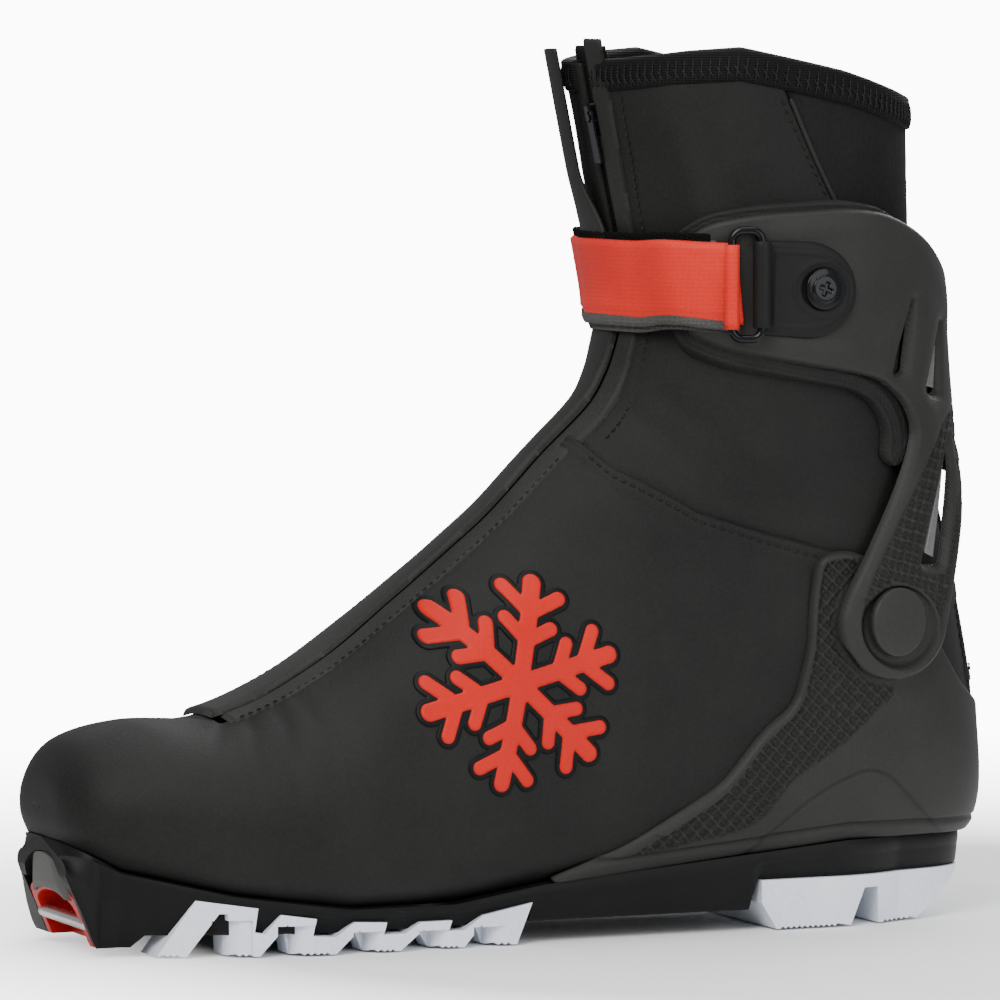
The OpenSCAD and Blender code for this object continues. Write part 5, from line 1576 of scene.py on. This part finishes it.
def inner_parts():
    for node, mat, slot in (("insole_board", "board", "board"), ("toe_puff", "board", "board"),
                            ("heel_counter", "board", "board"), ("shank", "cap", "shank_plastic"),
                            ("lace_loops", "dark_web", "webbing"), ("lace_lock", "cap", "shank_plastic"),
                            ("pivot_rivets", "steel", "steel"), ("pivot_washers", "steel", "steel")):
        dress(node, M[mat], 0.25 if node.startswith("pivot") else 0.0)
    # speed lace: the same zigzag as the part, as a round cord
    pts = []
    for k, t in enumerate((5.1, 5.7, 6.3, 6.9, 7.5)):
        s = 1 if k % 2 == 0 else -1
        for u in (-1, -0.6, -0.2, 0.2, 0.6, 1):
            pts.append(skin(t + 0.06 * u, s * u * 0.138, LINING_OUT - 0.8))
    dense = []
    for p, q in zip(pts, pts[1:]):
        dense += [p + (q - p) * u for u in np.linspace(0, 1, 6)[:-1]]
    dense.append(pts[-1])
    obj = tube("speed_lace_cord", dense, 0.7, M["lace"], 10)
    finish_piece(obj, "boot", "lace", "speed_lace")


def zip_metal():
    for node in ("zip_slider", "zip_pull"):
        dress(node, M["metal_dark"], 0.3)


# ---- Build ------------------------------------------------------------------------------------------------------------------
foot_panel()
toe_tip()
emblem()
collar_side(1)
collar_side(-1)
collar_back()
rear_seams()
ankle_stitches()
shaft_front_stitches()
rim_binding()
linings()
zip_parts()
storm_flap()
heel_shell()
heel_trim()
cuff_skin()
cuff_inlays()
cuff_padding()
strap_parts()
ring_tab()
caps_and_screws()
sole_carrier()
forefoot_tread()
heel_tread()
toe_parts()
inner_parts()
zip_metal()

# ---- Stage: floor, lights and camera -------------------------------------------------------------------------------------
CAMERA_AZ, CAMERA_EL, CAMERA_FAR = math.radians(158), math.radians(3.5), 2.2
AIM = Vector((0.105, 0.0, 0.1285))
VIEW_WIDTH = 0.2985


def stage():
    floor = bpy.data.meshes.new("floor")
    floor.from_pydata([(-6, -6, -0.0005), (6, -6, -0.0005), (6, 6, -0.0005), (-6, 6, -0.0005)], [], [(0, 1, 2, 3)])
    obj = bpy.data.objects.new("floor", floor)
    bpy.context.scene.collection.objects.link(obj)
    obj.data.materials.append(material("floor_paper", srgb(250, 250, 250, 1), srgb(253, 253, 253, 1), 0.9, 30, 0.0))
    paper = obj.data.materials[0].node_tree
    far, fade = paper.nodes.new("ShaderNodeVectorMath"), paper.nodes.new("ShaderNodeMapRange")
    far.operation = "LENGTH"
    fade.inputs["From Min"].default_value = 0.2
    fade.inputs["From Max"].default_value = 0.62
    where = next(n for n in paper.nodes if n.type == "TEX_COORD")
    clear, blend = paper.nodes.new("ShaderNodeBsdfTransparent"), paper.nodes.new("ShaderNodeMixShader")
    shader = next(n for n in paper.nodes if n.type == "BSDF_PRINCIPLED")
    out = next(n for n in paper.nodes if n.type == "OUTPUT_MATERIAL")
    paper.links.new(where.outputs["Object"], far.inputs[0])
    paper.links.new(far.outputs["Value"], fade.inputs["Value"])
    paper.links.new(fade.outputs[0], blend.inputs[0])
    paper.links.new(shader.outputs[0], blend.inputs[1])
    paper.links.new(clear.outputs[0], blend.inputs[2])
    paper.links.new(blend.outputs[0], out.inputs[0])
    world = bpy.data.worlds.new("studio")
    world.use_nodes = True
    nodes, links = world.node_tree.nodes, world.node_tree.links
    soft = nodes["Background"]
    soft.inputs[0].default_value = (0.95, 0.97, 1.0, 1)
    soft.inputs[1].default_value = 0.42
    white = nodes.new("ShaderNodeBackground")
    white.inputs[1].default_value = 14.0
    seen = nodes.new("ShaderNodeLightPath")
    mix = nodes.new("ShaderNodeMixShader")
    links.new(seen.outputs["Is Camera Ray"], mix.inputs[0])
    links.new(soft.outputs[0], mix.inputs[1])
    links.new(white.outputs[0], mix.inputs[2])
    links.new(mix.outputs[0], nodes["World Output"].inputs[0])
    bpy.context.scene.world = world
    for name, at, size, power, tint in (("key", (0.9, 0.9, 1.1), 0.9, 22, (1, 0.99, 0.97)),
                                        ("fill", (-0.5, 1.4, 0.5), 1.0, 9, (0.97, 0.98, 1)),
                                        ("top", (0.0, -0.1, 1.5), 1.2, 14, (1, 1, 1)),
                                        ("back", (-0.8, -0.9, 0.9), 0.9, 12, (1, 1, 1))):
        lamp = bpy.data.lights.new(name, "AREA")
        lamp.energy = power
        lamp.size = size
        lamp.color = tint
        light = bpy.data.objects.new(name, lamp)
        light.location = at
        light.rotation_euler = (AIM - Vector(at)).to_track_quat("-Z", "Y").to_euler()
        bpy.context.scene.collection.objects.link(light)
    camera = bpy.data.cameras.new("camera")
    camera.sensor_width = 36
    camera.lens = 36 * CAMERA_FAR / VIEW_WIDTH
    camera.clip_end = 50
    cam = bpy.data.objects.new("camera", camera)
    back = Vector((math.sin(CAMERA_AZ) * math.cos(CAMERA_EL), -math.cos(CAMERA_AZ) * math.cos(CAMERA_EL),
                   math.sin(CAMERA_EL)))
    cam.location = AIM + back * CAMERA_FAR
    cam.rotation_euler = (-back).to_track_quat("-Z", "Y").to_euler()
    bpy.context.scene.collection.objects.link(cam)
    bpy.context.scene.camera = cam


stage()
